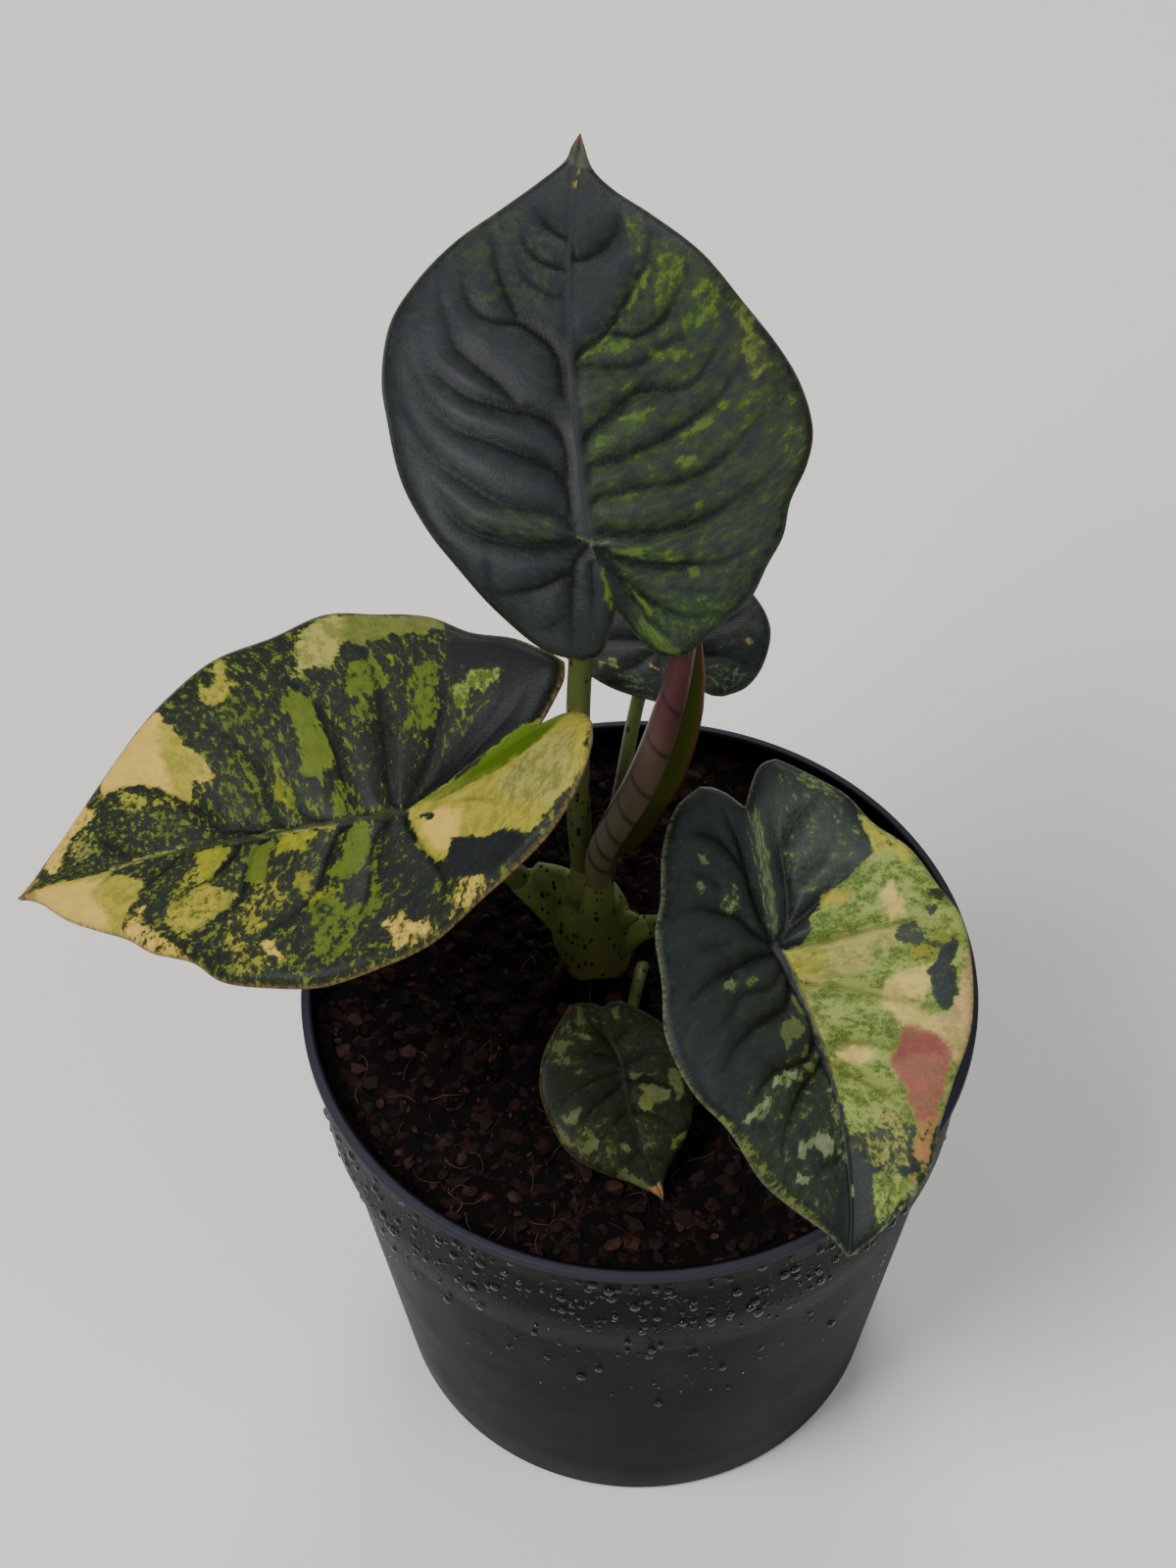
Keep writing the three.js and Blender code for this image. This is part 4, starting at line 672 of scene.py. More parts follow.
# The new leaf: middle of the tube, the tube's radius and the flap's width
ROLLED_LEAF = [
    ((-8.4, 5.3, 20), 2.4, 0.3), ((-8.9, 5.4, 34), 2.5, 0.3), ((-8.9, 5.5, 42), 2.8, 0.3),
    ((-8.4, 5.5, 46), 3.0, 4.4), ((-6.2, 5.5, 53), 3.3, 5.6), ((-2, 5.5, 64), 3.5, 5.6),
    ((0.9, 5.5, 73), 3.5, 5.5), ((3.4, 5.5, 83), 3.4, 5.0), ((5.4, 5.5, 93), 3.1, 4.3),
    ((7.2, 5.5, 103), 2.7, 3.0), ((8.6, 5.5, 112), 2.1, 1.4), ((9.8, 5.5, 120), 1.2, 0.5),
    ((10.7, 5.5, 127), 0.5, 0.3),
]
ROLLED_VEINS = (48, 53, 59, 66, 75, 88, 101)
# How much lower each vein is in the middle of the tube's far side
ROLLED_VEIN_DROP = 8.0

# Where drops gather on the pot's front: an angle in degrees with its spread, within two limits
DROP_CLUSTERS = ((-156, 12), (-130, 12), (-102, 13), (-80, 10), (-55, 18))
DROP_LIMITS = (-176, -6)


def size_of(name, description, default, least, most):
    """A length in metres that can be set in the sidebar."""
    return FloatProperty(
        name=name, description=description, default=default, min=least, max=most, unit="LENGTH"
    )


def count_of(name, description, default, least, most):
    """A number of pieces or faces that can be set in the sidebar."""
    return IntProperty(name=name, description=description, default=default, min=least, max=most)


def colour_of(name, colour):
    """A colour that can be set in the sidebar."""
    return FloatVectorProperty(
        name=name, description=f"Colour: {name.lower()}", subtype="COLOR", size=4, min=0, max=1,
        default=linear(colour),
    )


class PlantSizes(bpy.types.PropertyGroup):
    blade_thickness: size_of("Blade thickness", "Of a leaf, between its veins", 0.0005, 0.0002, 0.0009)
    blade_rows: count_of("Blade rows", "Rows of faces down each half of a large blade", 200, 40, 260)
    wall: size_of("Pot wall", "Thickness of the pot's side", 0.0015, 0.0008, 0.004)
    collar: size_of("Collar height", "Height of the wide collar at the top of the pot", 0.031, 0.01, 0.06)
    base: size_of("Base radius", "Radius of the pot at its foot", 0.0585, 0.04, 0.07)
    drops: count_of("Water drops", "Number of drops on the pot's front", 1000, 0, 2000)
    crumbs: count_of("Bark crumbs", "Number of loose pieces on the mix", 1500, 0, 4000)
    fibres: count_of("Coir fibres", "Number of loose fibres on the mix", 320, 0, 1200)


class PlantColours(bpy.types.PropertyGroup):
    pot: colour_of("Pot", 0x050506)
    petiole: colour_of("Petiole", 0x50582F)
    specks: colour_of("Specks on petioles and stem", 0x120E0A)
    mix: colour_of("Potting mix", 0x080605)
    floor: colour_of("Floor", 0xE4E1DC)


def smooth_line(points, count, centripetal=False):
    """Evenly spaced points on a smooth line through the given ones. The solids use the same lines."""
    given = np.array(points, float)
    ends = (2 * given[0] - given[1], 2 * given[-1] - given[-2]) if centripetal else (given[0], given[-1])
    knots = np.vstack([ends[0], given, ends[1]])
    share = np.linspace(0, 1, 41)[:-1, None]
    line = []
    for p0, p1, p2, p3 in zip(knots, knots[1:], knots[2:], knots[3:]):
        pairs = ((p0, p1), (p1, p2), (p2, p3))
        before, span, after = (np.linalg.norm(b - a) ** 0.5 if centripetal else 1.0 for a, b in pairs)
        start = ((p1 - p0) / before - (p2 - p0) / (before + span) + (p2 - p1) / span) * span
        end = ((p2 - p1) / span - (p3 - p1) / (span + after) + (p3 - p2) / after) * span
        square, cube = 3 * (p2 - p1) - 2 * start - end, 2 * (p1 - p2) + start + end
        line.append(p1 + start * share + square * share**2 + cube * share**3)
    return evenly(np.vstack([*line, given[-1:]]), np.linspace(0, 1, count))


def evenly(line, shares):
    """Points of a line at the given shares of its length."""
    steps = np.linalg.norm(np.diff(line, axis=0), axis=1)
    length = np.concatenate([[0], np.cumsum(steps)])
    places = np.asarray(shares) * length[-1]
    return np.stack([np.interp(places, length, column) for column in line.T], 1)


def bezier(start, control, end, share):
    return (1 - share) ** 2 * start + 2 * share * (1 - share) * control + share**2 * end


def distance_to(points, line):
    """How far each point lies from a line of points, and the share of the line that is nearest to it."""
    best = np.full(len(points), np.inf)
    where = np.zeros(len(points))
    for i, (a, b) in enumerate(zip(line, line[1:])):
        along = b - a
        share = np.clip((points - a) @ along / max(along @ along, 1e-9), 0, 1)
        gap = np.linalg.norm(points - a - share[:, None] * along, axis=1)
        nearer = gap < best
        best[nearer] = gap[nearer]
        where[nearer] = ((i + share) / (len(line) - 1))[nearer]
    return best, where


def middle_of(leaf, v):
    """How far the midrib, or the line from the joint to the notch, strays sideways at v."""
    x = v / leaf["tip"][1]
    front = leaf["tip"][0] * x + 4 * (leaf["bow"] - leaf["tip"][0] / 2) * x * (1 - x)
    return np.where(v < 0, leaf["notch"][0] * v / leaf["notch"][1], front)


def bend_blade(leaf, flat, lift):
    """Where points of the flat blade lie once it is bent, each lifted off its middle, in metres."""
    heading, climb, roll = (math.radians(leaf[key]) for key in ("heading", "climb", "roll"))
    tip = np.array([math.cos(heading), math.sin(heading), math.tan(climb)]) * math.cos(climb)
    right = Vector((math.sin(heading), -math.cos(heading), 0))
    right = np.array(Matrix.Rotation(-roll, 3, Vector(tip)) @ right)
    up = np.cross(right, tip)
    u, v = flat[:, 0], flat[:, 1]
    arch = np.where(v < 0, leaf["arch"][1], leaf["arch"][0])
    turn = (v / arch)[:, None]
    raised = np.sin(turn) * tip + np.cos(turn) * up
    centre = middle_of(leaf, v)
    away, side = np.abs(u - centre), np.sign(u - centre)
    fold = np.radians(np.where(side < 0, *leaf["fold"])) * away / (away + FOLD_SOFTNESS)
    curl = np.where(side < 0, *leaf["curl"])
    slope = fold - away / curl
    across = curl * (np.sin(fold) - np.sin(slope))
    rise = curl * (np.cos(slope) - np.cos(fold))
    joint = np.array(leaf["joint"]) + [0, 0, SOIL_LEVEL]
    place = joint + (arch * np.sin(v / arch))[:, None] * tip - (arch * (1 - np.cos(v / arch)))[:, None] * up
    place += (centre + side * across - side * lift * np.sin(slope))[:, None] * right
    place += (rise + lift * np.cos(slope))[:, None] * raised
    return place * MM


def blade_sheet(leaf, rows):
    """The flat blade as points, each with its row, column and half, and faces anticlockwise from above."""
    columns, web_columns = max(12, int(rows * 0.3)), max(4, rows // 14)
    joint_row = round(rows * JOINT_SHARE)
    notch = np.array(leaf["notch"], float)
    points, facts, faces = [], [], []

    def add_sheet(grid, info):
        start = sum(len(p) for p in points)
        points.append(grid.reshape(-1, 2))
        facts.append(info.reshape(-1, 3))
        index = start + np.arange(len(points[-1])).reshape(grid.shape[:2])
        quads = np.stack([index[:-1, :-1], index[:-1, 1:], index[1:, 1:], index[1:, :-1]], -1).reshape(-1, 4)
        corners = points[-1][quads - start]
        ahead = np.roll(corners, -1, axis=1)
        area = (corners[..., 0] * ahead[..., 1] - ahead[..., 0] * corners[..., 1]).sum()
        faces.append(quads if area > 0 else quads[:, ::-1])

    for side, key in ((-1, "left"), (1, "right")):
        half = leaf[key]
        margin = outline_of(leaf, key, 400)
        end = margin[-1]
        t = np.linspace(0, 1, rows + 1)
        v = margin[0][1] * (1 - t[: joint_row + 1] / t[joint_row])
        midrib = np.stack([middle_of(leaf, v), v], 1)
        share = np.linspace(0, 1, rows - joint_row + 1)[1:, None]
        rib = bezier(np.zeros(2), np.array(half["rib"], float), end, share)
        root = np.vstack([midrib, rib])
        # Rows lie closer together along the margin near the tip
        rim = evenly(margin, t**1.25)
        w = np.linspace(0, 1, columns + 1)[None, :, None]
        control = root + (rim - root) * [0.6, 0.2]
        grid = bezier(root[:, None], control[:, None], rim[:, None], w)
        info = np.stack(np.broadcast_arrays(t[:, None], w[..., 0], side), -1)
        add_sheet(grid, info)
        a = np.linspace(0, 1, web_columns + 1)
        b = np.concatenate([[0], share[:, 0]])
        inner = evenly(smooth_line(half["inner"], 60), a)
        edge = inner - (end + (notch - end) * a[:, None])
        spine = np.vstack([[[0, 0]], rib])
        web = spine[:, None] * (1 - a[None, :, None]) + (b[:, None] * notch)[:, None] * a[None, :, None]
        web = web + edge[None] * (b**2)[:, None, None]
        info = np.stack(np.broadcast_arrays(t[joint_row:, None], -a[None, :], side), -1)
        add_sheet(web, info)
    points, facts, faces = np.vstack(points), np.vstack(facts), np.vstack(faces)
    _, first, merged = np.unique(np.round(points, 3) + 0.0, axis=0, return_index=True, return_inverse=True)
    points, facts, faces = points[first], facts[first], merged.reshape(-1)[faces]
    kept = []
    for face in faces.tolist():
        corners = [c for i, c in enumerate(face) if c != face[i - 1]]
        if len(set(corners)) == len(corners) and len(corners) > 2:
            kept.append(corners)
    return points, facts, kept


def outline_of(leaf, key, count):
    """The margin of one half as a smooth line, from the tip of the midrib to the end of the lobe."""
    _, tip_v = leaf[key]["margin"][0]
    return smooth_line([(float(middle_of(leaf, tip_v)), tip_v), *leaf[key]["margin"][1:]], count)


def inside_distance(points, corners):
    """How far inside a closed outline each point lies, and below zero how far outside it."""
    ring = np.array([*corners, corners[0]], float)
    gap, _ = distance_to(points, ring)
    inside = np.zeros(len(points), bool)
    for (ax, ay), (bx, by) in zip(ring, ring[1:]):
        if ay != by:
            level = (ay > points[:, 1]) != (by > points[:, 1])
            inside ^= level & (points[:, 0] < ax + (points[:, 1] - ay) * (bx - ax) / (by - ay))
    return np.where(inside, gap, -gap)


def paint_areas(name, leaf, flat):
    """How much light tissue each point of the blade has, and its colour with the veil over it as alpha."""
    ragged = [
        [noise.fractal(Vector((u, v, layer)) * 0.4, 0.7, 2.1, 4) for layer in (0, 50)] for u, v in flat
    ]
    ragged = np.array(ragged)
    light = np.full(len(flat), float(leaf["speckle"]))
    colour = np.tile(np.array([*linear(leaf.get("spot", leaf["shade"]))[:3], 0.4]), (len(flat), 1))
    for shade, share, corners in AREAS[name]:
        low, high = np.min(corners, 0), np.max(corners, 0)
        # The larger an area, the softer and the more ragged its edge
        near = np.flatnonzero(np.all((flat > low - 3) & (flat < high + 3), axis=1))
        soft = np.clip(0.16 * min(high - low), 0.2, 1.0)
        places = flat[near] + min(0.8, 0.3 * min(high - low)) * ragged[near]
        weight = np.clip(inside_distance(places, corners) / soft + 0.5, 0, 1)
        weight = weight * weight * (3 - 2 * weight)
        if shade is NO_LIGHT:
            light[near] *= 1 - weight * share
            continue
        tinted = np.clip(inside_distance(places, corners) / leaf["blur"] + 0.7, 0, 1)
        target = np.array([*linear(shade)[:3], VEILS.get(shade, 0.45)])
        colour[near] += tinted[:, None] * (target - colour[near])
        light[near] += weight * (share - light[near])
    return np.interp(light, SHARES, LEVELS), colour


def relief_of(name, leaf, flat, facts):
    """The veins and swellings of a blade at each point, with its lift in millimetres."""
    t, w, side = facts.T
    size = leaf["tip"][1] / LARGEST_BLADE
    midrib_v = np.linspace(leaf["left"]["margin"][0][1], 0, 80)
    to_midrib, taper = distance_to(flat, np.stack([middle_of(leaf, midrib_v), midrib_v], 1))
    crease, line = np.zeros(len(flat)), np.zeros(len(flat))
    to_margin = np.full(len(flat), 99.0)
    for sign, key in ((-1, "left"), (1, "right")):
        mine = np.flatnonzero(side == sign)
        here = flat[mine]
        for strength, places in VEINS[name, key]:
            gap, share = distance_to(here, smooth_line(places, 24))
            fading = strength * np.clip(1.7 * (1 - share), 0.12, 1)
            sunk = fading * np.exp(-np.hypot(gap, 0.5) / (CREASE_WIDTH * size**0.6))
            crease[mine] = np.maximum(crease[mine], sunk)
            drawn = fading * np.exp(-((gap / (VEIN_WIDTH * size**0.5)) ** 2))
            line[mine] = np.maximum(line[mine], drawn)
        for edge in (outline_of(leaf, key, 160), smooth_line(leaf[key]["inner"], 30)):
            to_margin[mine] = np.minimum(to_margin[mine], distance_to(here, edge)[0])
    # The midrib is a ridge that widens towards the joint, with a trench on each side
    half_width = leaf["rib_width"] * (0.35 + 0.85 * taper**2)
    shown = np.clip(flat[:, 1] / 4 + 0.7, 0, 1)
    ridge = np.exp(-((to_midrib / half_width) ** 2)) * shown
    trench = np.exp(-(((to_midrib - 1.9 * half_width) / (0.8 * half_width)) ** 2))
    trench *= shown * (0.3 + 0.7 * taper)
    # The blade swells between its creases, less along the midrib, and sinks at its margin
    swell = np.clip(1.15 * (1 - crease), 0, 1)
    spine = np.exp(-((to_midrib / (1.7 * half_width)) ** 2)) * shown
    trench *= leaf["groove"]
    swell = (swell + spine * (0.75 - swell)) * (1 - 0.4 * trench) * (1 - np.exp(-to_margin / (2.2 * size)))
    wave = leaf["wave"] * np.sin(6 * np.pi * t) * np.clip(w, 0, 1) ** 3
    edge = -0.6 * size * np.exp(-((to_margin / (1.1 * size)) ** 2))
    lift = leaf["bulge"] * swell + wave + edge - 0.4 * size * trench
    lift += (0.12 + 0.2 * leaf["groove"]) * size * ridge
    # Underneath, the midrib and the side veins stand out
    under = 0.9 * size * np.exp(-((to_midrib / (1.2 * size)) ** 2)) + 0.35 * size * line
    under *= np.clip(to_margin / (2 * size), 0.1, 1)
    margin = np.exp(-((to_margin / 0.4) ** 2))
    return {
        "lift": lift, "under": under, "ridge": ridge, "line": line, "margin": margin, "swell": swell,
        "trench": trench,
    }


def show_mesh(name, mesh, materials, smooth=True):
    """An object in the scene with a mesh and its materials."""
    for material in materials:
        mesh.materials.append(material)
    mesh.polygons.foreach_set("use_smooth", [smooth] * len(mesh.polygons))
    made = bpy.data.objects.new(name, mesh)
    bpy.context.scene.collection.objects.link(made)
    return made


def make_object(name, vertices, faces, materials, slots=None, smooth=True):
    """An object from points in metres and lists of corners."""
    mesh = bpy.data.meshes.new(name)
    mesh.from_pydata([tuple(p) for p in vertices], [], faces)
    made = show_mesh(name, mesh, materials, smooth)
    if slots is not None:
        mesh.polygons.foreach_set("material_index", slots)
    mesh.update()
    return made


def take_body(name, body, materials, smooth=True):
    """An object from an editable mesh, which is then freed."""
    mesh = bpy.data.meshes.new(name)
    body.to_mesh(mesh)
    body.free()
    return show_mesh(name, mesh, materials, smooth)


def store(made, name, kind, values):
    """Stores one value for each of the mesh's points, for its materials to read."""
    layer = made.data.attributes.new(name, kind, "POINT")
    key = {"FLOAT_VECTOR": "vector", "FLOAT_COLOR": "color", "FLOAT": "value"}[kind]
    layer.data.foreach_set(key, np.ascontiguousarray(values, dtype=np.float32).ravel())


def stand_for(made, node):
    """Shows a made piece in place of a solid."""
    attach(made, "root")
    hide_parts(node)


def tube_frames(path, count):
    """Evenly spaced centres on a path in space, with two directions across it that don't twist."""
    centres = smooth_line(path, count, centripetal=True)
    tangents = np.gradient(centres, axis=0)
    tangents /= np.linalg.norm(tangents, axis=1)[:, None]
    first = np.cross(tangents[0], [0, 1, 0])
    firsts, seconds = [], []
    for tangent in tangents:
        first = first - tangent * (first @ tangent)
        first = first / np.linalg.norm(first)
        firsts.append(first)
        seconds.append(np.cross(tangent, first))
    return centres, np.array(firsts), np.array(seconds)


def tube_mesh(path, radii, sides, count):
    """Points and faces of a closed round tube, in millimetres above the mix."""
    centres, firsts, seconds = tube_frames(path, count)
    radius = np.interp(np.linspace(0, 1, count), np.linspace(0, 1, len(radii)), radii)
    angle = np.linspace(0, 2 * np.pi, sides, endpoint=False)
    ring = np.cos(angle)[None, :, None] * firsts[:, None] + np.sin(angle)[None, :, None] * seconds[:, None]
    points = (centres[:, None] + radius[:, None, None] * ring).reshape(-1, 3)
    return points, tube_faces(count, sides)


def ring_faces(rings, sides):
    """The quads between closed rings of points, each ring anticlockwise seen from the last."""
    faces = []
    for ring in range(rings - 1):
        for side in range(sides):
            ahead = (side + 1) % sides
            low, high = ring * sides, (ring + 1) * sides
            faces.append([low + side, low + ahead, high + ahead, high + side])
    return faces


def tube_faces(rings, sides):
    """The faces of a closed tube: the quads between its rings, and one face at each end."""
    ends = [list(range(sides))[::-1], list(range((rings - 1) * sides, rings * sides))]
    return ring_faces(rings, sides) + ends


def lathe_mesh(profile, sides):
    """Points and faces of a closed shape turned about Z, from radii and heights in millimetres."""
    points, rings = [], []
    for radius, height in profile:
        if radius < 1e-6:
            rings.append([len(points)] * sides)
            points.append((0, 0, height * MM))
            continue
        rings.append(list(range(len(points), len(points) + sides)))
        for side in range(sides):
            angle = 2 * math.pi * side / sides
            points.append((radius * math.cos(angle) * MM, radius * math.sin(angle) * MM, height * MM))
    faces = []
    for low, high in zip(rings, rings[1:]):
        for side in range(sides):
            ahead = (side + 1) % sides
            corners = [low[side], low[ahead], high[ahead], high[side]]
            faces.append([c for i, c in enumerate(corners) if c != corners[i - 1]])
    return points, faces


# Kinds of node that most materials have, and the settings of each node of a kind: mixes are of colours
MIX, RANGED, MATH, NOISE = "ShaderNodeMix", "ShaderNodeMapRange", "ShaderNodeMath", "ShaderNodeTexNoise"
SETTINGS = {MIX: {"data_type": "RGBA"}}


def set_inputs(node, inputs):
    """Sets each input of a node to a value, or links it to a socket or to the result of a node."""
    for socket, value in inputs.items():
        if isinstance(value, bpy.types.Node):
            value = value.outputs[2 if value.bl_idname == MIX else 0]
        if isinstance(value, bpy.types.NodeSocket):
            node.id_data.links.new(value, node.inputs[socket])
        else:
            node.inputs[socket].default_value = value


def add_node(tree, kind, inputs=None, **settings):
    """Adds a node, with its properties from settings, and its inputs set or linked."""
    made = tree.nodes.new(kind)
    for key, value in {**SETTINGS.get(kind, {}), **settings}.items():
        setattr(made, key, value)
    set_inputs(made, inputs or {})
    return made


def new_material(name, roughness, ior=1.45, **sockets):
    """A material, what adds a node to it, and its one Principled shader with its constant values."""
    material = bpy.data.materials.new(name)
    material.use_nodes = True
    shader = material.node_tree.nodes["Principled BSDF"]
    constants = {socket.replace("_", " "): value for socket, value in sockets.items()}
    set_inputs(shader, {"Roughness": roughness, "IOR": ior, **constants})
    return material, partial(add_node, material.node_tree), shader


def leaf_top_material(name, leaf):
    """Living leaf, upper face: a dark top layer over lighter tissue that shows where the layer is missing.

    It gives a dull satin sheen on the swellings, partly painted, dark grooves at the veins with painted
    shade in them, and crisp mottled edges.
    """
    material, add, shader = new_material(
        f"leaf_upper_{name}", 0.5, 1.42, Sheen_Weight=0.015, Sheen_Roughness=0.4, Specular_IOR_Level=0.13
    )
    titles = "flat", "streak", "tint", "veins", "marks"
    flat, streak, tint, veins, marks = [add("ShaderNodeAttribute", attribute_name=each) for each in titles]
    tint, _, _, veil = tint.outputs
    midrib, lateral, margin = add("ShaderNodeSeparateColor", {0: veins}).outputs
    light, swell, trench = add("ShaderNodeSeparateColor", {0: marks}).outputs
    # Islands of light tissue along the veins, 1.3 to 2 mm wide, twice as long, with edges down to 0.1 mm
    islands = add(NOISE, {0: streak, "Scale": leaf["islands"], "Detail": 8, "Roughness": 0.7})
    islands = add(RANGED, {0: islands, 1: 0.32, 2: 0.68})
    level = add(MATH, {0: light, 1: islands}, operation="ADD")
    crisp = add(RANGED, {0: level, 1: 1.0, 2: 1.0 + leaf["soft"]})
    # Dark layer: a painted sheen makes it grey on the swellings, and painted shade nearly black in the
    # grooves, creases and trenches, with a worn grain. Flecks of thin green tissue about 1 mm across lie in
    # it.
    tone_and_painted_light = add(NOISE, {0: flat, "Scale": 120, "Detail": 6, "Roughness": 0.65})
    tone_and_painted_light = add(RANGED, {0: tone_and_painted_light, 1: 0.35, 2: 0.65, 3: -0.18, 4: 0.18})
    tone_and_painted_light = add(MATH, {0: tone_and_painted_light, 1: swell}, operation="ADD")
    lifted = add(RANGED, {0: tone_and_painted_light, 1: 0.05, 2: 0.55})
    dark = add(MIX, {0: lifted, 6: linear(leaf["deep"]), 7: linear(leaf["dark"])})
    raised = add(RANGED, {0: tone_and_painted_light, 1: 0.5, 2: 1.0})
    # Painted shade in the trenches beside the midrib and in the creases of the side veins
    sunk = add(RANGED, {0: trench, 1: 0.1, 2: 0.9, 4: 0.7})
    crease_shade_and_veins = add(MATH, {0: lateral, 1: 0.8}, operation="MULTIPLY")
    grain = add(NOISE, {0: flat, "Scale": 1400, "Detail": 3})
    worn = add(RANGED, {0: grain, 1: 0.52, 2: 0.72, 4: 0.45})
    flecks = add(NOISE, {0: streak, "Scale": 1150, "Detail": 5, "Roughness": 0.72})
    flecks = add(RANGED, {0: flecks, 1: 0.32, 2: 0.68})
    flecks = add(MATH, {0: light, 1: 0.65, 2: flecks}, operation="MULTIPLY_ADD")
    flecks = add(RANGED, {0: flecks, 1: 0.9, 2: 1.02, 4: 0.8})
    layers = (raised, "raised"), (sunk, "deep"), (crease_shade_and_veins, "deep"), (worn, "raised"), (flecks, "fleck")
    for share, colour in layers:
        dark = add(MIX, {0: share, 6: dark, 7: linear(leaf[colour])})
    # Light tissue: greener near its edges and in clouds, with a net of fine veins 1.2 mm apart, and its side
    # veins darker with painted crease shade
    fine = add(NOISE, {0: flat, "Scale": 300, "Detail": 2}).outputs["Color"]
    apart = (0.0012, 0.0012, 0.0)
    warped = add("ShaderNodeVectorMath", {0: fine, 1: apart, 2: flat}, operation="MULTIPLY_ADD")
    net = add("ShaderNodeTexVoronoi", {"Vector": warped, "Scale": 820}, feature="DISTANCE_TO_EDGE")
    net = add(RANGED, {0: net, 1: 0.0, 2: 0.13, 3: 1.0, 4: 0.0})
    green = add(RANGED, {0: level, 1: 1.0, 2: 1.4, 3: 0.7, 4: 0.0})
    cloud = add(NOISE, {0: streak, "Scale": 380, "Detail": 7, "Roughness": 0.75})
    cloud = add(RANGED, {0: cloud, 1: 0.46, 2: 0.56})
    cloud = add(MATH, {0: cloud, 1: veil}, operation="MULTIPLY")
    netted = add(MATH, {0: net, 1: veil}, operation="MULTIPLY")
    netted = add(MATH, {0: netted, 1: 0.26}, operation="MULTIPLY")
    pale = tint
    for share, colour in ((green, "shade"), (cloud, "shade"), (netted, "net"), (crease_shade_and_veins, "vein")):
        pale = add(MIX, {0: share, 6: pale, 7: linear(leaf[colour])})
    # Light tissue over the dark layer: a haze round each island, then the island itself
    hazy = add(RANGED, {0: level, 1: 0.4, 2: 1.15, 4: leaf["haze"]})
    shade = dark
    for share in (hazy, crisp):
        shade = add(MIX, {0: share, 6: shade, 7: pale})
    # Midrib, and a margin with a pale line of beads 0.9 mm apart
    ribbed = add(RANGED, {0: midrib, 1: 0.1, 2: 0.8, 4: 0.6})
    beads = add(NOISE, {0: flat, "Scale": 1100, "Detail": 2})
    beads = add(RANGED, {0: beads, 1: 0.35, 2: 0.6, 3: 0.2, 4: 0.95})
    beads = add(MATH, {0: margin, 1: beads}, operation="MULTIPLY")
    for share, colour in ((ribbed, "midrib"), (beads, "margin")):
        shade = add(MIX, {0: share, 6: shade, 7: linear(leaf[colour])})
    gloss = add(RANGED, {0: crisp, 3: 0.44, 4: 0.54})
    height = add(MATH, {0: net, 1: -0.5, 2: grain}, operation="MULTIPLY_ADD")
    bump = add("ShaderNodeBump", {"Height": height, "Strength": 0.25, "Distance": 0.00015})
    set_inputs(shader, {"Base Color": shade, "Roughness": gloss, "Normal": bump})
    return material


def leaf_under_material():
    """Living leaf, lower face: grey-mauve tissue with maroon veins, which gives a matt, pinkish back."""
    material, add, shader = new_material("leaf_lower", 0.6, 1.42, Sheen_Weight=0.1, Specular_IOR_Level=0.3)
    flat = add("ShaderNodeAttribute", attribute_name="flat")
    veins = add("ShaderNodeAttribute", attribute_name="veins")
    midrib, lateral, _ = add("ShaderNodeSeparateColor", {0: veins}).outputs
    cloud = add(NOISE, {0: flat, "Scale": 140, "Detail": 5})
    cloud = add(RANGED, {0: cloud, 1: 0.35, 2: 0.65})
    shade = add(MIX, {0: cloud, 6: linear(0x74706C), 7: linear(0x8A7C7A)})
    lines = add(MATH, {0: midrib, 1: lateral}, operation="MAXIMUM")
    shade = add(MIX, {0: lines, 6: shade, 7: linear(0x5E3A40)})
    bump = add("ShaderNodeBump", {"Height": cloud, "Strength": 0.3, "Distance": 0.0002})
    set_inputs(shader, {"Base Color": shade, "Normal": bump})
    return material


def add_specks(add, skin, solid, colour, stretch, scale, largest, edge):
    """Specks up to 1 mm long over a skin, in over half of the cells, each with a soft edge."""
    stretched = add("ShaderNodeMapping", {"Vector": solid, "Scale": (1, 1, stretch)})
    cells = add("ShaderNodeTexVoronoi", {"Vector": stretched, "Scale": scale})
    chosen = add("ShaderNodeSeparateColor", {0: cells.outputs["Color"]})
    size = add(RANGED, {0: chosen, 1: 0.45, 2: 1.0, 3: 0.0, 4: largest})
    inside = add(MATH, {0: size, 1: cells}, operation="SUBTRACT")
    speck = add(RANGED, {0: inside, 1: 0.0, 2: edge, 4: 0.95})
    return add(MIX, {0: speck, 6: skin, 7: colour})


def petiole_material(colours):
    """Living petiole: waxy pale green skin with black specks drawn out along it, pinker near the stem."""
    material, add, shader = new_material("petiole_skin", 0.38, Coat_Weight=0.04, Specular_IOR_Level=0.16)
    height = add("ShaderNodeAttribute", attribute_name="height").outputs["Fac"]
    solid = add("ShaderNodeTexCoord").outputs["Object"]
    # Faint lines along the petiole, 0.6 mm apart
    lines = add("ShaderNodeMapping", {"Vector": solid, "Scale": (1, 1, 0.05)})
    lines = add(NOISE, {0: lines, "Scale": 1500, "Detail": 3})
    lined = add(RANGED, {0: lines, 1: 0.35, 2: 0.7, 4: 0.4})
    skin = add(MIX, {0: lined, 6: tuple(colours.petiole), 7: linear(0x424C24)})
    foot = add(RANGED, {0: height, 1: 0.004, 2: 0.03, 3: 0.5, 4: 0.0})
    skin = add(MIX, {0: foot, 6: skin, 7: linear(0x66553C)})
    skin = add_specks(add, skin, solid, tuple(colours.specks), 0.55, 850, 0.5, 0.06)
    bump = add("ShaderNodeBump", {"Height": lines, "Strength": 0.25, "Distance": 0.0002})
    set_inputs(shader, {"Base Color": skin, "Normal": bump})
    return material


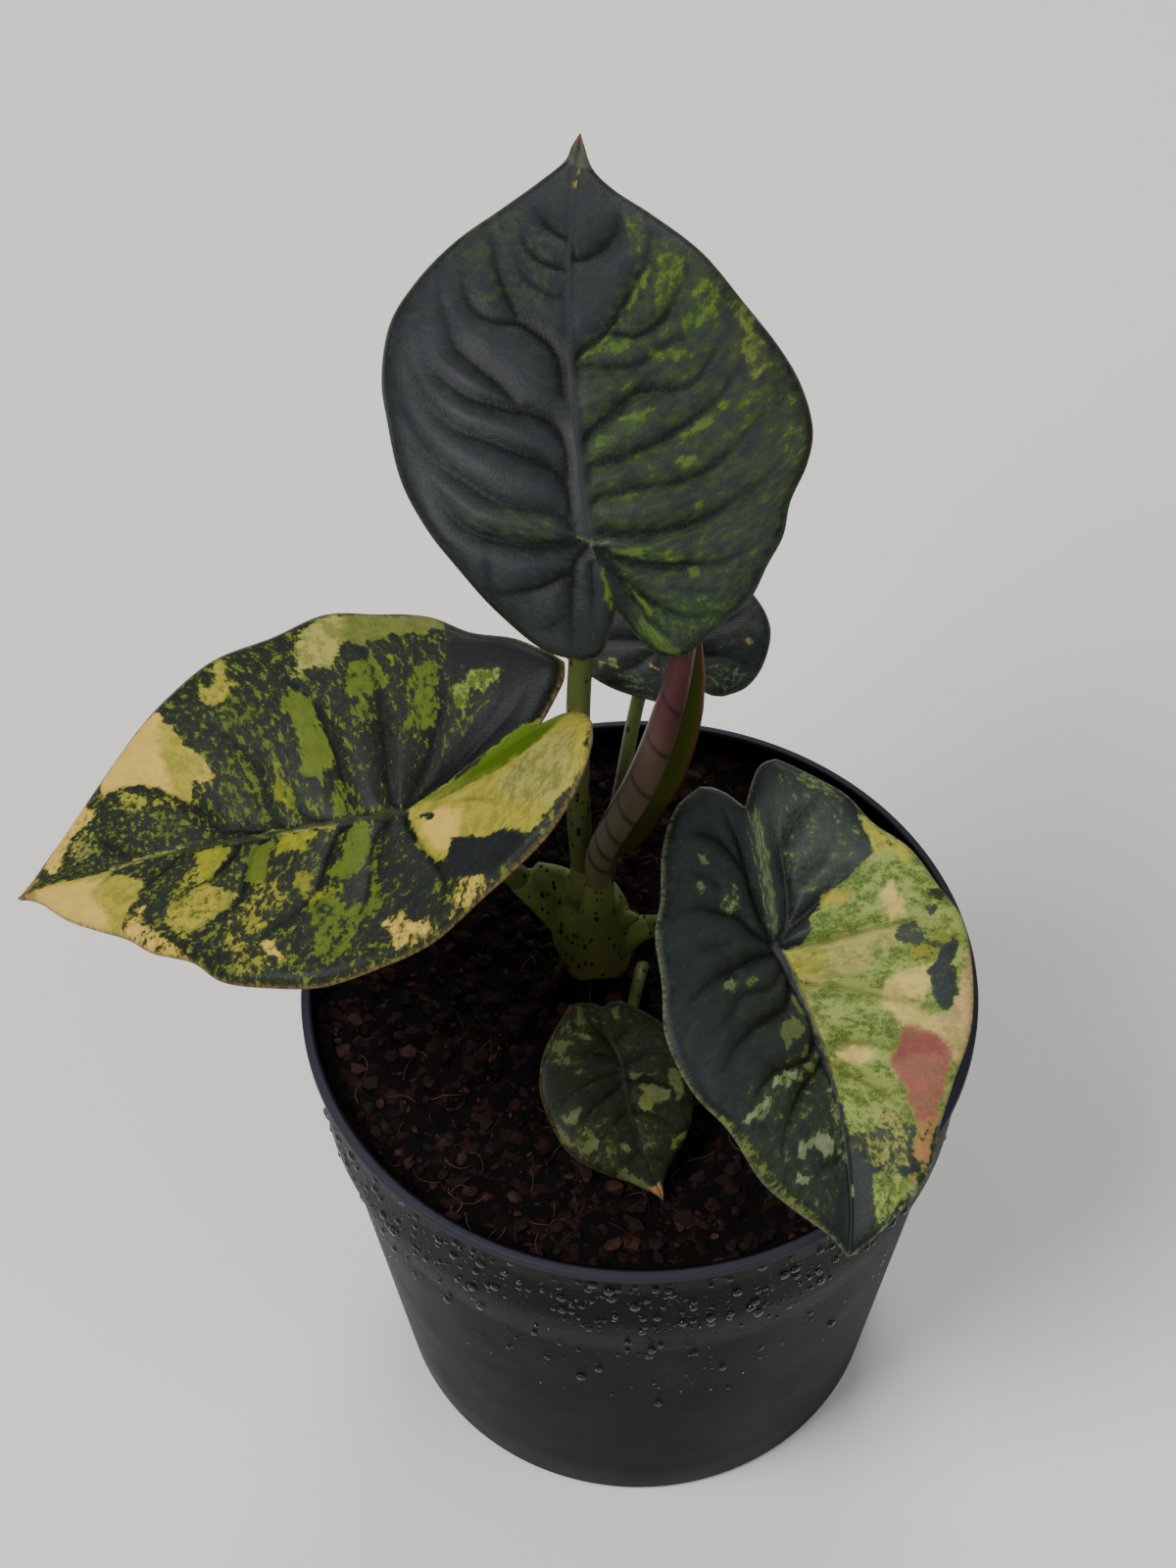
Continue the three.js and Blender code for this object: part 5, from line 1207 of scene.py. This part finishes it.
def stem_material(colours):
    """Sheathed stem: pale green skin that turns pink-brown at the mix, with specks, which looks fleshy."""
    material, add, shader = new_material("stem_skin", 0.46, 1.42, Specular_IOR_Level=0.16)
    solid = add("ShaderNodeTexCoord").outputs["Object"]
    _, _, height = add("ShaderNodeSeparateXYZ", {0: solid}).outputs
    blotch = add(NOISE, {0: solid, "Scale": 210, "Detail": 5, "Roughness": 0.6})
    skin = add(MIX, {0: blotch, 6: linear(0x747A40), 7: linear(0x57632E)})
    height = add(MATH, {0: blotch, 1: 0.016, 2: height}, operation="MULTIPLY_ADD")
    foot, green = (SOIL_LEVEL + 6) * MM, (SOIL_LEVEL + 24) * MM
    low = add(RANGED, {0: height, 1: foot, 2: green, 3: 0.75, 4: 0.0})
    skin = add(MIX, {0: low, 6: skin, 7: linear(0x6E4E38)})
    skin = add_specks(add, skin, solid, tuple(colours.specks), 0.6, 760, 0.46, 0.07)
    bump = add("ShaderNodeBump", {"Height": blotch, "Strength": 0.4, "Distance": 0.0006})
    set_inputs(shader, {"Base Color": skin, "Normal": bump})
    return material


def rolled_leaf_material():
    """New leaf still rolled: its mauve back with maroon veins outside, and an olive flap with a red edge."""
    material, add, shader = new_material("new_leaf_skin", 0.4, Coat_Weight=0.03, Specular_IOR_Level=0.14)
    height = add("ShaderNodeAttribute", attribute_name="height").outputs["Fac"]
    marks = add("ShaderNodeAttribute", attribute_name="marks")
    vein, flap, edge = add("ShaderNodeSeparateColor", {0: marks}).outputs
    solid = add("ShaderNodeTexCoord").outputs["Object"]
    cloud = add(NOISE, {0: solid, "Scale": 160, "Detail": 5, "Roughness": 0.6})
    # The tube is darker than its own mauve: painted shade of the crown blade above it.
    tube = add(MIX, {0: cloud, 6: linear(0x4A2829), 7: linear(0x381E1F)})
    low = add(RANGED, {0: height, 1: 0.045, 2: 0.095, 3: 1.0, 4: 0.0})
    tube = add(MIX, {0: low, 6: tube, 7: linear(0x5A5A3E)})
    tube = add(MIX, {0: vein, 6: tube, 7: linear(0x1C0A0C)})
    sheet = add(MIX, {0: cloud, 6: linear(0x3C420C), 7: linear(0x2A300A)})
    sheet = add(MIX, {0: edge, 6: sheet, 7: linear(0x4C2018)})
    shade = add(MIX, {0: flap, 6: tube, 7: sheet})
    bump = add("ShaderNodeBump", {"Height": cloud, "Strength": 0.2, "Distance": 0.0003})
    set_inputs(shader, {"Base Color": shade, "Normal": bump})
    return material


def pot_material(colours):
    """Injection-moulded polypropylene, filled black: a satin skin with water marks and a painted highlight
    on the lip.
    """
    material, add, shader = new_material("moulded_polypropylene", 0.45, 1.49, Specular_IOR_Level=0.04)
    solid = add("ShaderNodeTexCoord").outputs["Object"]
    marks = add(NOISE, {0: solid, "Scale": 55, "Detail": 6, "Roughness": 0.65})
    film = add(RANGED, {0: marks, 1: 0.5, 2: 0.75, 4: 0.05})
    shade = add(MIX, {0: film, 6: tuple(colours.pot), 7: linear(0x18181C)})
    # Height and distance from the axis add up to more on the lip than anywhere else: its lighter colour is a
    # painted highlight
    _, _, height = add("ShaderNodeSeparateXYZ", {0: solid}).outputs
    level = add("ShaderNodeVectorMath", {0: solid, 1: (1, 1, 0)}, operation="MULTIPLY")
    away = add("ShaderNodeVectorMath", {0: level}, operation="LENGTH").outputs["Value"]
    reach = add(MATH, {0: away, 1: height}, operation="ADD")
    lip = (RIM_RADIUS + POT_HEIGHT) * MM
    lip_highlight = add(RANGED, {0: reach, 1: lip - 0.002, 2: lip - 0.0015})
    shade = add(MIX, {0: lip_highlight, 6: shade, 7: linear(0x303038)})
    rough = add(RANGED, {0: marks, 1: 0.3, 2: 0.7, 3: 0.4, 4: 0.48})
    grain = add(NOISE, {0: solid, "Scale": 2200, "Detail": 2})
    bump = add("ShaderNodeBump", {"Height": grain, "Strength": 0.18, "Distance": 0.0002})
    set_inputs(shader, {"Base Color": shade, "Roughness": rough, "Normal": bump})
    return material


def water_material():
    """Water in small drops, grey-blue with a painted reflection, which makes dull lenses on the dark
    plastic.
    """
    painted_reflection = (0.42, 0.43, 0.52, 1.0)
    return new_material("water_painted_reflection", 0.02, 1.333, Base_Color=painted_reflection, Transmission_Weight=0.97)[0]


def mix_material(colours):
    """Moist potting mix of peat, bark and coir: dull brown-black crumb with redder grains."""
    material, add, shader = new_material("moist_potting_mix", 0.9, 1.4, Specular_IOR_Level=0.12)
    solid = add("ShaderNodeTexCoord").outputs["Object"]
    grains = add("ShaderNodeTexVoronoi", {"Vector": solid, "Scale": 480})
    chosen = add("ShaderNodeSeparateColor", {0: grains.outputs["Color"]})
    red = add(RANGED, {0: chosen, 1: 0.7, 2: 1.0})
    shade = add(MIX, {0: red, 6: tuple(colours.mix), 7: linear(0x24130F)})
    rough = add(NOISE, {0: solid, "Scale": 900, "Detail": 4})
    height = add(MATH, {0: grains, 1: -0.8, 2: rough}, operation="MULTIPLY_ADD")
    bump = add("ShaderNodeBump", {"Height": height, "Strength": 0.8, "Distance": 0.0008})
    set_inputs(shader, {"Base Color": shade, "Normal": bump})
    return material


def crumb_material(name, colour, other, scale):
    """Bark and coir crumb: dull woody colour that changes from piece to piece."""
    material, add, shader = new_material(name, 0.8, 1.45, Specular_IOR_Level=0.14)
    solid = add("ShaderNodeTexCoord").outputs["Object"]
    change = add(NOISE, {0: solid, "Scale": scale, "Detail": 2})
    change = add(RANGED, {0: change, 1: 0.35, 2: 0.65})
    shade = add(MIX, {0: change, 6: linear(colour), 7: linear(other)})
    set_inputs(shader, {"Base Color": shade})
    return material


def floor_material(colours):
    """Matt painted board, without a mark."""
    return new_material("matt_floor", 0.75, Base_Color=tuple(colours.floor))[0]


class PLANT_OT_blades(bpy.types.Operator):
    """Builds the five leaf blades with their veins, swellings and light patches"""

    bl_idname = "plant.blades"
    bl_label = "Leaf blades"

    def execute(self, context):
        sizes = context.scene.plant_sizes
        under = leaf_under_material()
        slots = {"crown": "blade_dark", "left": "blade_marbled", "right": "blade_half_cream"}
        for name, leaf in LEAVES.items():
            rows = sizes.blade_rows if name in slots else sizes.blade_rows // 2
            made = self.build(name, leaf, rows, sizes.blade_thickness / MM, under)
            stand_for(made, f"blade_{name}")
        return {"FINISHED"}

    def build(self, name, leaf, rows, thickness, under):
        """One closed blade: its upper face, its lower face and the rim between them."""
        flat, facts, faces = blade_sheet(leaf, rows)
        relief = relief_of(name, leaf, flat, facts)
        top = bend_blade(leaf, flat, relief["lift"] + thickness / 2)
        low = bend_blade(leaf, flat, relief["lift"] - thickness / 2 - relief["under"])
        count = len(flat)
        directed = {}
        for face in faces:
            for a, b in zip(face, face[1:] + face[:1]):
                if directed.pop((b, a), None) is None:
                    directed[a, b] = True
        rim = [[b, a, a + count, b + count] for a, b in directed]
        backs = [[c + count for c in reversed(face)] for face in faces]
        slots = [0] * len(faces) + [1] * len(backs) + [0] * len(rim)
        upper = leaf_top_material(name, leaf)
        both = np.vstack([top, low])
        made = make_object(f"leaf_blade_{name}", both, faces + backs + rim, [upper, under], slots)
        self.mark(made, name, leaf, flat, facts, relief)
        return made

    def mark(self, made, name, leaf, flat, facts, relief):
        """Stores what the materials read at each point: where it lies, its veins and its light tissue."""
        level, colour = paint_areas(name, leaf, flat)
        t, w, side = facts.T
        size = leaf["tip"][1] / LARGEST_BLADE
        down, out = t * STREAK_DOWN * size, np.abs(w) * STREAK_OUT * size
        along = np.where(w < 0, down, out)
        across = np.where(w < 0, out, down)
        apart = side * HALVES_APART + np.sign(w) * WEBS_APART
        streak = np.stack([along * STREAK_SHARE, across, apart], 1) * MM
        one = np.ones(len(flat))
        veins = np.stack([relief["ridge"], relief["line"], relief["margin"], one], 1)
        marks = np.stack([level - 0.4 * relief["line"], relief["swell"], relief["trench"], one], 1)
        for title, kind, values in (
            ("flat", "FLOAT_VECTOR", np.column_stack([flat, side * FLATS_APART]) * MM),
            ("streak", "FLOAT_VECTOR", streak),
            ("tint", "FLOAT_COLOR", colour),
            ("veins", "FLOAT_COLOR", veins),
            ("marks", "FLOAT_COLOR", marks),
        ):
            store(made, title, kind, np.vstack([values, values]))


class PLANT_OT_petioles(bpy.types.Operator):
    """Builds the petioles, from the stem or the mix up to each blade's joint"""

    bl_idname = "plant.petioles"
    bl_label = "Petioles"

    def execute(self, context):
        material = petiole_material(context.scene.plant_colours)
        rings, sides = 90, 24
        for name, (path, radii) in PETIOLES.items():
            line = smooth_line(path, rings, centripetal=True)
            to_end = np.cumsum(np.linalg.norm(np.diff(line, axis=0), axis=1)[::-1])[::-1]
            to_end = np.append(to_end, 0) / PETIOLE_END
            rounded = np.sqrt(1.02 - (1 - np.clip(to_end, 0, 1)) ** 2)
            radii = np.interp(np.linspace(0, 1, rings), np.linspace(0, 1, len(radii)), radii) * rounded
            points, faces = tube_mesh(path, radii, sides, rings)
            place = points + [0, 0, SOIL_LEVEL]
            made = make_object(f"petiole_of_{name}", place * MM, faces, [material])
            # The front petiole is green all the way down, so each of its points counts as high
            height = points[:, 2] if name != "front" else np.full(len(points), 30.0)
            store(made, "height", "FLOAT", height * MM)
            stand_for(made, f"petiole_{name}")
        return {"FINISHED"}


class PLANT_OT_stem(bpy.types.Operator):
    """Builds the short stem with its leaf sheaths"""

    bl_idname = "plant.stem"
    bl_label = "Stem"

    def execute(self, context):
        points, faces = [], []
        sides = 32
        angle = np.linspace(0, 2 * np.pi, sides, endpoint=False)
        circle = np.stack([np.cos(angle), np.sin(angle), 0 * angle], 1)
        rings = [centre + radius * circle for centre, radius in TRUNK]
        parts = [(np.vstack(rings), tube_faces(len(rings), sides))]
        parts += [tube_mesh(path, radii, sides=20, count=18) for path, radii in SHEATHS]
        for part, corners in parts:
            start = len(points)
            points += part.tolist()
            faces += [[start + c for c in face] for face in corners]
        place = np.array(points) + [0, 0, SOIL_LEVEL]
        rough = make_object("stem_rough", place * MM, faces, [])
        remesh = rough.modifiers.new("one_skin", "REMESH")
        remesh.mode = "VOXEL"
        remesh.voxel_size = STEM_VOXEL * MM
        smooth = rough.modifiers.new("soften", "SMOOTH")
        smooth.factor = 0.5
        smooth.iterations = 5
        whole = bpy.data.meshes.new_from_object(rough.evaluated_get(context.evaluated_depsgraph_get()))
        bpy.data.objects.remove(rough)
        made = show_mesh("stem_with_sheaths", whole, [stem_material(context.scene.plant_colours)])
        stand_for(made, "stem")
        return {"FINISHED"}


class PLANT_OT_new_leaf(bpy.types.Operator):
    """Builds the new leaf, rolled into a tube with one free edge"""

    bl_idname = "plant.new_leaf"
    bl_label = "New leaf"

    def execute(self, context):
        rings = 380
        middle = smooth_line([row[0] for row in ROLLED_LEAF], rings, centripetal=True)
        heights = [row[0][2] for row in ROLLED_LEAF]
        radius = np.interp(middle[:, 2], heights, [row[1] for row in ROLLED_LEAF])
        flap = np.interp(middle[:, 2], heights, [row[2] for row in ROLLED_LEAF])
        tangent = np.gradient(middle, axis=0)
        right = np.cross([0, 1, 0], tangent)
        right /= np.linalg.norm(right, axis=1)[:, None]
        points, marks, height = [], [], []
        for centre, r, width, across in zip(middle, radius, flap, right):
            for x, y, is_flap, share in self.section(r, width):
                points.append(centre + x * across + y * np.array([0, 1, 0]))
                height.append(centre[2] * MM)
                drop = 1 + 0.2 * share if is_flap else math.atan2(-y, -x) / math.pi
                level = centre[2] + ROLLED_VEIN_DROP * drop
                gap = min(abs(level - vein) for vein in ROLLED_VEINS)
                line = math.exp(-((gap / 0.48) ** 2)) * (0.5 if is_flap else 1.0)
                opened = is_flap and width > 1
                edge = math.exp(-(((1 - share) * width / 0.7) ** 2)) if opened else 0.0
                marks.append((line, float(opened), edge, 1.0))
        sides = len(points) // rings
        place = np.array(points) + [0, 0, SOIL_LEVEL]
        skin = rolled_leaf_material()
        made = make_object("new_leaf_roll", place * MM, tube_faces(rings, sides), [skin])
        store(made, "height", "FLOAT", height)
        store(made, "marks", "FLOAT_COLOR", marks)
        stand_for(made, "rolled_leaf")
        return {"FINISHED"}

    def section(self, radius, width):
        """Points across the tube and its flap, each with whether it is on the flap and how far out."""
        flap, arc = 6, 22
        root, span = 0.9 * radius, width + 0.1 * radius
        points = []
        for step in range(flap + 1):
            share = 1 - step / flap
            points.append((root + share * span, 0.35 * radius + 0.65 + 0.25 * (1 - share), True, share))
        for step in range(arc + 1):
            angle = math.radians(60 + 300 * step / arc)
            points.append((radius * math.cos(angle), radius * math.sin(angle), False, 0.0))
        for step in range(flap):
            share = step / flap
            points.append((root + share * span, 0.35 * radius + 0.25, True, share))
        return points


def pot_profile(sizes):
    """Radii and heights of the pot's section, from the middle of its underside to that of its floor."""
    wall, collar, base = sizes.wall / MM, sizes.collar / MM, sizes.base / MM
    foot = POT_HEIGHT - collar
    top = RIM_RADIUS - LIP_DEPTH
    body = top - STEP_DEPTH
    recess = 1.2
    outer = [(0, recess), (base - 14, recess), (base - 15, 0)]
    outer += [(base - 1.8, 0), (base - 0.6, 0.5), (base, 1.8)]
    outer += [(base + (body - base) * k / 8, 1.8 + (foot - 1.8) * k / 8) for k in range(1, 9)]
    outer += [(body + 0.3, foot + 0.1), (body + 1.3, foot + 0.4), (body + 1.6, foot + 0.9)]
    step = body + 1.6
    outer += [(step + (top - step) * k / 4, foot + 0.9 + (collar - 4.1) * k / 4) for k in range(1, 5)]
    lip = [(top + 0.2, POT_HEIGHT - 3), (RIM_RADIUS - 0.3, POT_HEIGHT - 2.7), (RIM_RADIUS, POT_HEIGHT - 2.2)]
    lip += [(RIM_RADIUS, POT_HEIGHT - 0.8), (RIM_RADIUS - 0.25, POT_HEIGHT - 0.25)]
    lip += [(RIM_RADIUS - 0.8, POT_HEIGHT), (top - wall + 0.5, POT_HEIGHT)]
    lip += [(top - wall + 0.1, POT_HEIGHT - 0.2), (top - wall, POT_HEIGHT - 0.7)]
    inner = [(body + 1.6 - wall, foot + 1.5), (body - wall, foot), (base - wall, POT_FLOOR), (0, POT_FLOOR)]
    return outer + lip + inner


class PLANT_OT_pot(bpy.types.Operator):
    """Builds the nursery pot"""

    bl_idname = "plant.pot"
    bl_label = "Pot"

    def execute(self, context):
        sizes, colours = context.scene.plant_sizes, context.scene.plant_colours
        points, faces = lathe_mesh(pot_profile(sizes), sides=180)
        made = make_object("nursery_pot", points, faces, [pot_material(colours)])
        stand_for(made, "pot")
        return {"FINISHED"}


class PLANT_OT_drops(bpy.types.Operator):
    """Scatters drops of water over the front of the pot"""

    bl_idname = "plant.drops"
    bl_label = "Water drops"

    def execute(self, context):
        sizes = context.scene.plant_sizes
        chance = random.Random(7)
        top, collar, base = RIM_RADIUS - LIP_DEPTH, sizes.collar / MM, sizes.base / MM
        foot = POT_HEIGHT - collar
        body = bmesh.new()
        drops = []
        for _ in range(sizes.drops):
            around = chance.gauss(*chance.choice(DROP_CLUSTERS))
            around = math.radians(min(max(around, DROP_LIMITS[0]), DROP_LIMITS[1]))
            on_collar = chance.random() < 0.85
            if on_collar:
                height = POT_HEIGHT - chance.uniform(5, collar - 3)
            else:
                height = foot - chance.triangular(3, 45, 5)
            drops.append((around, height, 0.28 + chance.random() ** 4))
        for index, (around, height, radius) in enumerate(drops):
            others = drops[:index]
            if any(abs(around - a) * RIM_RADIUS + abs(height - h) < radius + r for a, h, r in others):
                continue
            if height > foot:
                reach = top - 1.6 * (POT_HEIGHT - height) / collar
            else:
                reach = base + (top - STEP_DEPTH - base) * height / foot
            out = Vector((math.cos(around), math.sin(around), -SIDE_SLOPE)).normalized()
            place = Vector((reach * math.cos(around), reach * math.sin(around), height)) * MM
            turn = out.to_track_quat("Z", "Y").to_matrix().to_4x4()
            radius *= MM
            shape = Matrix.Diagonal((radius, radius * chance.uniform(1, 1.25), radius * 0.55, 1))
            place = Matrix.Translation(place + out * 0.08 * radius)
            steps = 2 if radius > 0.35 * MM else 1
            bmesh.ops.create_icosphere(body, subdivisions=steps, radius=1, matrix=place @ turn @ shape)
        made = take_body("water_drops", body, [water_material()])
        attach(made, "root")
        return {"FINISHED"}


def soil_height(x, y):
    """Height of the mix at a place, in millimetres: the solids' lumps with finer crumb and a small heap."""
    fade = 1 - (math.hypot(x, y) / RIM_RADIUS) ** 4
    lumps = math.sin(0.31 * x + 1.1) * math.cos(0.27 * y - 0.4) + 0.7 * math.sin(0.62 * x - 0.48 * y + 2)
    lumps += 0.5 * math.cos(0.83 * y + 0.35 * x)
    fine = noise.fractal(Vector((x, y, 0)) * 0.35, 0.9, 2.1, 4)
    grit = noise.fractal(Vector((x, y, 9)) * 1.1, 0.8, 2.2, 3)
    heap = HEAP_HEIGHT * math.exp(-((math.dist((x, y), HEAP_PLACE) / HEAP_REACH) ** 2))
    return SOIL_LEVEL + 0.78 * fade * lumps + 0.9 * fine + 0.4 * grit + heap


def random_place(chance, reach):
    """A random place on the mix, within reach of its middle."""
    angle, radius = chance.uniform(0, 2 * math.pi), reach * math.sqrt(chance.random())
    return radius * math.cos(angle), radius * math.sin(angle)


class PLANT_OT_mix(bpy.types.Operator):
    """Builds the potting mix, with loose bark crumbs and coir fibres on it"""

    bl_idname = "plant.mix"
    bl_label = "Potting mix"

    def execute(self, context):
        sizes, colours = context.scene.plant_sizes, context.scene.plant_colours
        edge = RIM_RADIUS - LIP_DEPTH - sizes.wall / MM - SOIL_GAP
        rings, sides = 88, 220
        points, faces = [(0, 0, soil_height(0, 0))], []
        for ring in range(1, rings + 1):
            for side in range(sides):
                angle, radius = 2 * math.pi * side / sides, edge * ring / rings
                x, y = radius * math.cos(angle), radius * math.sin(angle)
                points.append((x, y, soil_height(x, y)))
        faces += [[0, 1 + side, 1 + (side + 1) % sides] for side in range(sides)]
        faces += [[1 + c for c in face] for face in ring_faces(rings, sides)]
        faces = [face if len(face) == 3 else [face[0], face[3], face[2], face[1]] for face in faces]
        # Below its rim the mix narrows to the pot's step, and then to its floor
        deep = len(points)
        margin = points[-sides:]
        step = 0.955, POT_HEIGHT - sizes.collar / MM
        floor = (sizes.base / MM - MIX_INSET) / edge, POT_FLOOR + MIX_LIFT
        for narrowing, height in (step, floor):
            points += [(x * narrowing, y * narrowing, height) for x, y, _ in margin]
        for start in (deep - sides, deep):
            for side in range(sides):
                ahead = (side + 1) % sides
                faces.append([start + side, start + sides + side, start + sides + ahead, start + ahead])
        faces.append([deep + sides + side for side in reversed(range(sides))])
        made = make_object("mix_surface", np.array(points) * MM, faces, [mix_material(colours)])
        stand_for(made, "potting_mix")
        self.scatter_crumbs(sizes, edge)
        self.scatter_fibres(sizes, edge)
        return {"FINISHED"}

    def scatter_crumbs(self, sizes, edge):
        chance = random.Random(11)
        body = bmesh.new()
        for _ in range(sizes.crumbs):
            x, y = random_place(chance, edge - 1.5)
            size = 0.5 + 1.5 * chance.random() ** 3
            length, depth = size * chance.uniform(0.8, 1.6), size * chance.uniform(0.4, 0.8)
            shape = Matrix.Diagonal((length, size, depth, 1))
            turn = Matrix.Rotation(chance.uniform(0, 6.28), 4, "Z")
            turn @= Matrix.Rotation(chance.uniform(-0.5, 0.5), 4, "X")
            place = Matrix.Translation(Vector((x, y, soil_height(x, y) + 0.12 * size)))
            corners, faces = len(body.verts), len(body.faces)
            whole = Matrix.Scale(MM, 4) @ place @ turn @ shape
            bmesh.ops.create_icosphere(body, subdivisions=1, radius=1, matrix=whole)
            body.verts.ensure_lookup_table()
            body.faces.ensure_lookup_table()
            centre = Vector((x, y, soil_height(x, y))) * MM
            for vert in body.verts[corners:]:
                vert.co = centre + (vert.co - centre) * chance.uniform(0.75, 1.25)
            is_dry = chance.random() >= 0.72
            for face in body.faces[faces:]:
                face.material_index = int(is_dry)
        damp = crumb_material("damp_bark_crumb", 0x0F0A08, 0x1E120F, 300)
        dry = crumb_material("dry_bark_crumb", 0x38201A, 0x1A0F0B, 300)
        made = take_body("bark_crumbs", body, [damp, dry], smooth=False)
        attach(made, "root")

    def scatter_fibres(self, sizes, edge):
        chance = random.Random(5)
        points, faces = [], []
        for _ in range(sizes.fibres):
            x, y = random_place(chance, edge - 3)
            heading, bend = chance.uniform(0, 6.28), chance.uniform(-0.5, 0.5)
            length, thick = chance.uniform(2, 9), chance.uniform(0.05, 0.11)
            rise = chance.uniform(0, 1.2)
            path = []
            steps = 5
            for step in range(steps + 1):
                if math.hypot(x, y) > edge - 1:
                    break
                share = step / steps
                path.append((x, y, soil_height(x, y) + 0.3 + 4 * rise * share * (1 - share)))
                x += length / steps * math.cos(heading)
                y += length / steps * math.sin(heading)
                heading += bend
            if len(path) < 3:
                continue
            line, corners = tube_mesh(path, (thick, thick * 0.5), sides=4, count=8)
            start = len(points)
            points += line.tolist()
            faces += [[start + c for c in face] for face in corners]
        fibre = crumb_material("coir_fibre", 0x34190F, 0x6C4E3A, 40)
        made = make_object("coir_fibres", np.array(points) * MM, faces, [fibre])
        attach(made, "root")


class PLANT_OT_stage(bpy.types.Operator):
    """Adds the floor, the soft studio lights and the camera"""

    bl_idname = "plant.stage"
    bl_label = "Floor, lights and camera"

    def execute(self, context):
        scene = context.scene
        signs = (-1, -1), (1, -1), (1, 1), (-1, 1)
        corners = [(x * FLOOR_REACH, y * FLOOR_REACH, 0) for x, y in signs]
        board = floor_material(scene.plant_colours)
        floor = make_object("floor", corners, [[0, 1, 2, 3]], [board], smooth=False)
        world = bpy.data.worlds.new("studio")
        world.use_nodes = True
        background = world.node_tree.nodes["Background"]
        set_inputs(background, {"Color": linear(0xE9EDF2), "Strength": 0.22})
        scene.world = world
        self.add_lamps(scene)
        self.add_camera(scene)
        return {"FINISHED"}

    def add_lamps(self, scene):
        for name, place, size, power in LAMPS:
            lamp = bpy.data.lights.new(name, "AREA")
            lamp.shape, lamp.size, lamp.energy = "DISK", size, power
            made = bpy.data.objects.new(name, lamp)
            made.location = place
            aim = Vector(LAMP_TARGET) - Vector(place)
            made.rotation_euler = aim.to_track_quat("-Z", "Y").to_euler()
            scene.collection.objects.link(made)

    def add_camera(self, scene):
        """The photograph's camera, which looks down on the plant and is rolled a little."""
        lens = bpy.data.cameras.new("camera")
        lens.sensor_width = SENSOR_MM
        lens.lens = FOCAL_PIXELS / IMAGE_HEIGHT * SENSOR_MM
        lens.clip_start, lens.clip_end = 0.01, 50
        camera = bpy.data.objects.new("camera", lens)
        pitch, roll = math.radians(CAMERA_PITCH), math.radians(CAMERA_ROLL)
        forward = Vector((0, math.cos(pitch), -math.sin(pitch)))
        level = Vector((1, 0, 0))
        down = forward.cross(level)
        right = math.cos(roll) * level + math.sin(roll) * down
        up = math.sin(roll) * level - math.cos(roll) * down
        turned = Matrix((right, up, -forward)).transposed().to_4x4()
        camera.matrix_world = Matrix.Translation(Vector(CAMERA_PLACE)) @ turned
        scene.collection.objects.link(camera)
        scene.camera = camera


class PLANT_PT_panel(bpy.types.Panel):
    """Lists the plant's pieces in the sidebar"""

    bl_idname = "PLANT_PT_panel"
    bl_label = "Potted plant"
    bl_space_type = "VIEW_3D"
    bl_region_type = "UI"
    bl_category = "Potted plant"

    def draw(self, context):
        for group in (context.scene.plant_sizes, context.scene.plant_colours):
            box = self.layout.box()
            for name in group.bl_rna.properties.keys():
                if name not in ("rna_type", "name"):
                    box.prop(group, name)
        for step in STEPS:
            self.layout.operator(step.bl_idname)


STEPS = (
    PLANT_OT_stage,
    PLANT_OT_pot,
    PLANT_OT_drops,
    PLANT_OT_mix,
    PLANT_OT_stem,
    PLANT_OT_petioles,
    PLANT_OT_new_leaf,
    PLANT_OT_blades,
)
CLASSES = (PlantSizes, PlantColours, *STEPS, PLANT_PT_panel)


def register():
    for kind in CLASSES:
        bpy.utils.register_class(kind)
    bpy.types.Scene.plant_sizes = PointerProperty(type=PlantSizes)
    bpy.types.Scene.plant_colours = PointerProperty(type=PlantColours)


def unregister():
    del bpy.types.Scene.plant_colours
    del bpy.types.Scene.plant_sizes
    for kind in reversed(CLASSES):
        bpy.utils.unregister_class(kind)


def main():
    register()
    for step in STEPS:
        group, name = step.bl_idname.split(".")
        getattr(getattr(bpy.ops, group), name)()


if __name__ == "__main__":
    main()
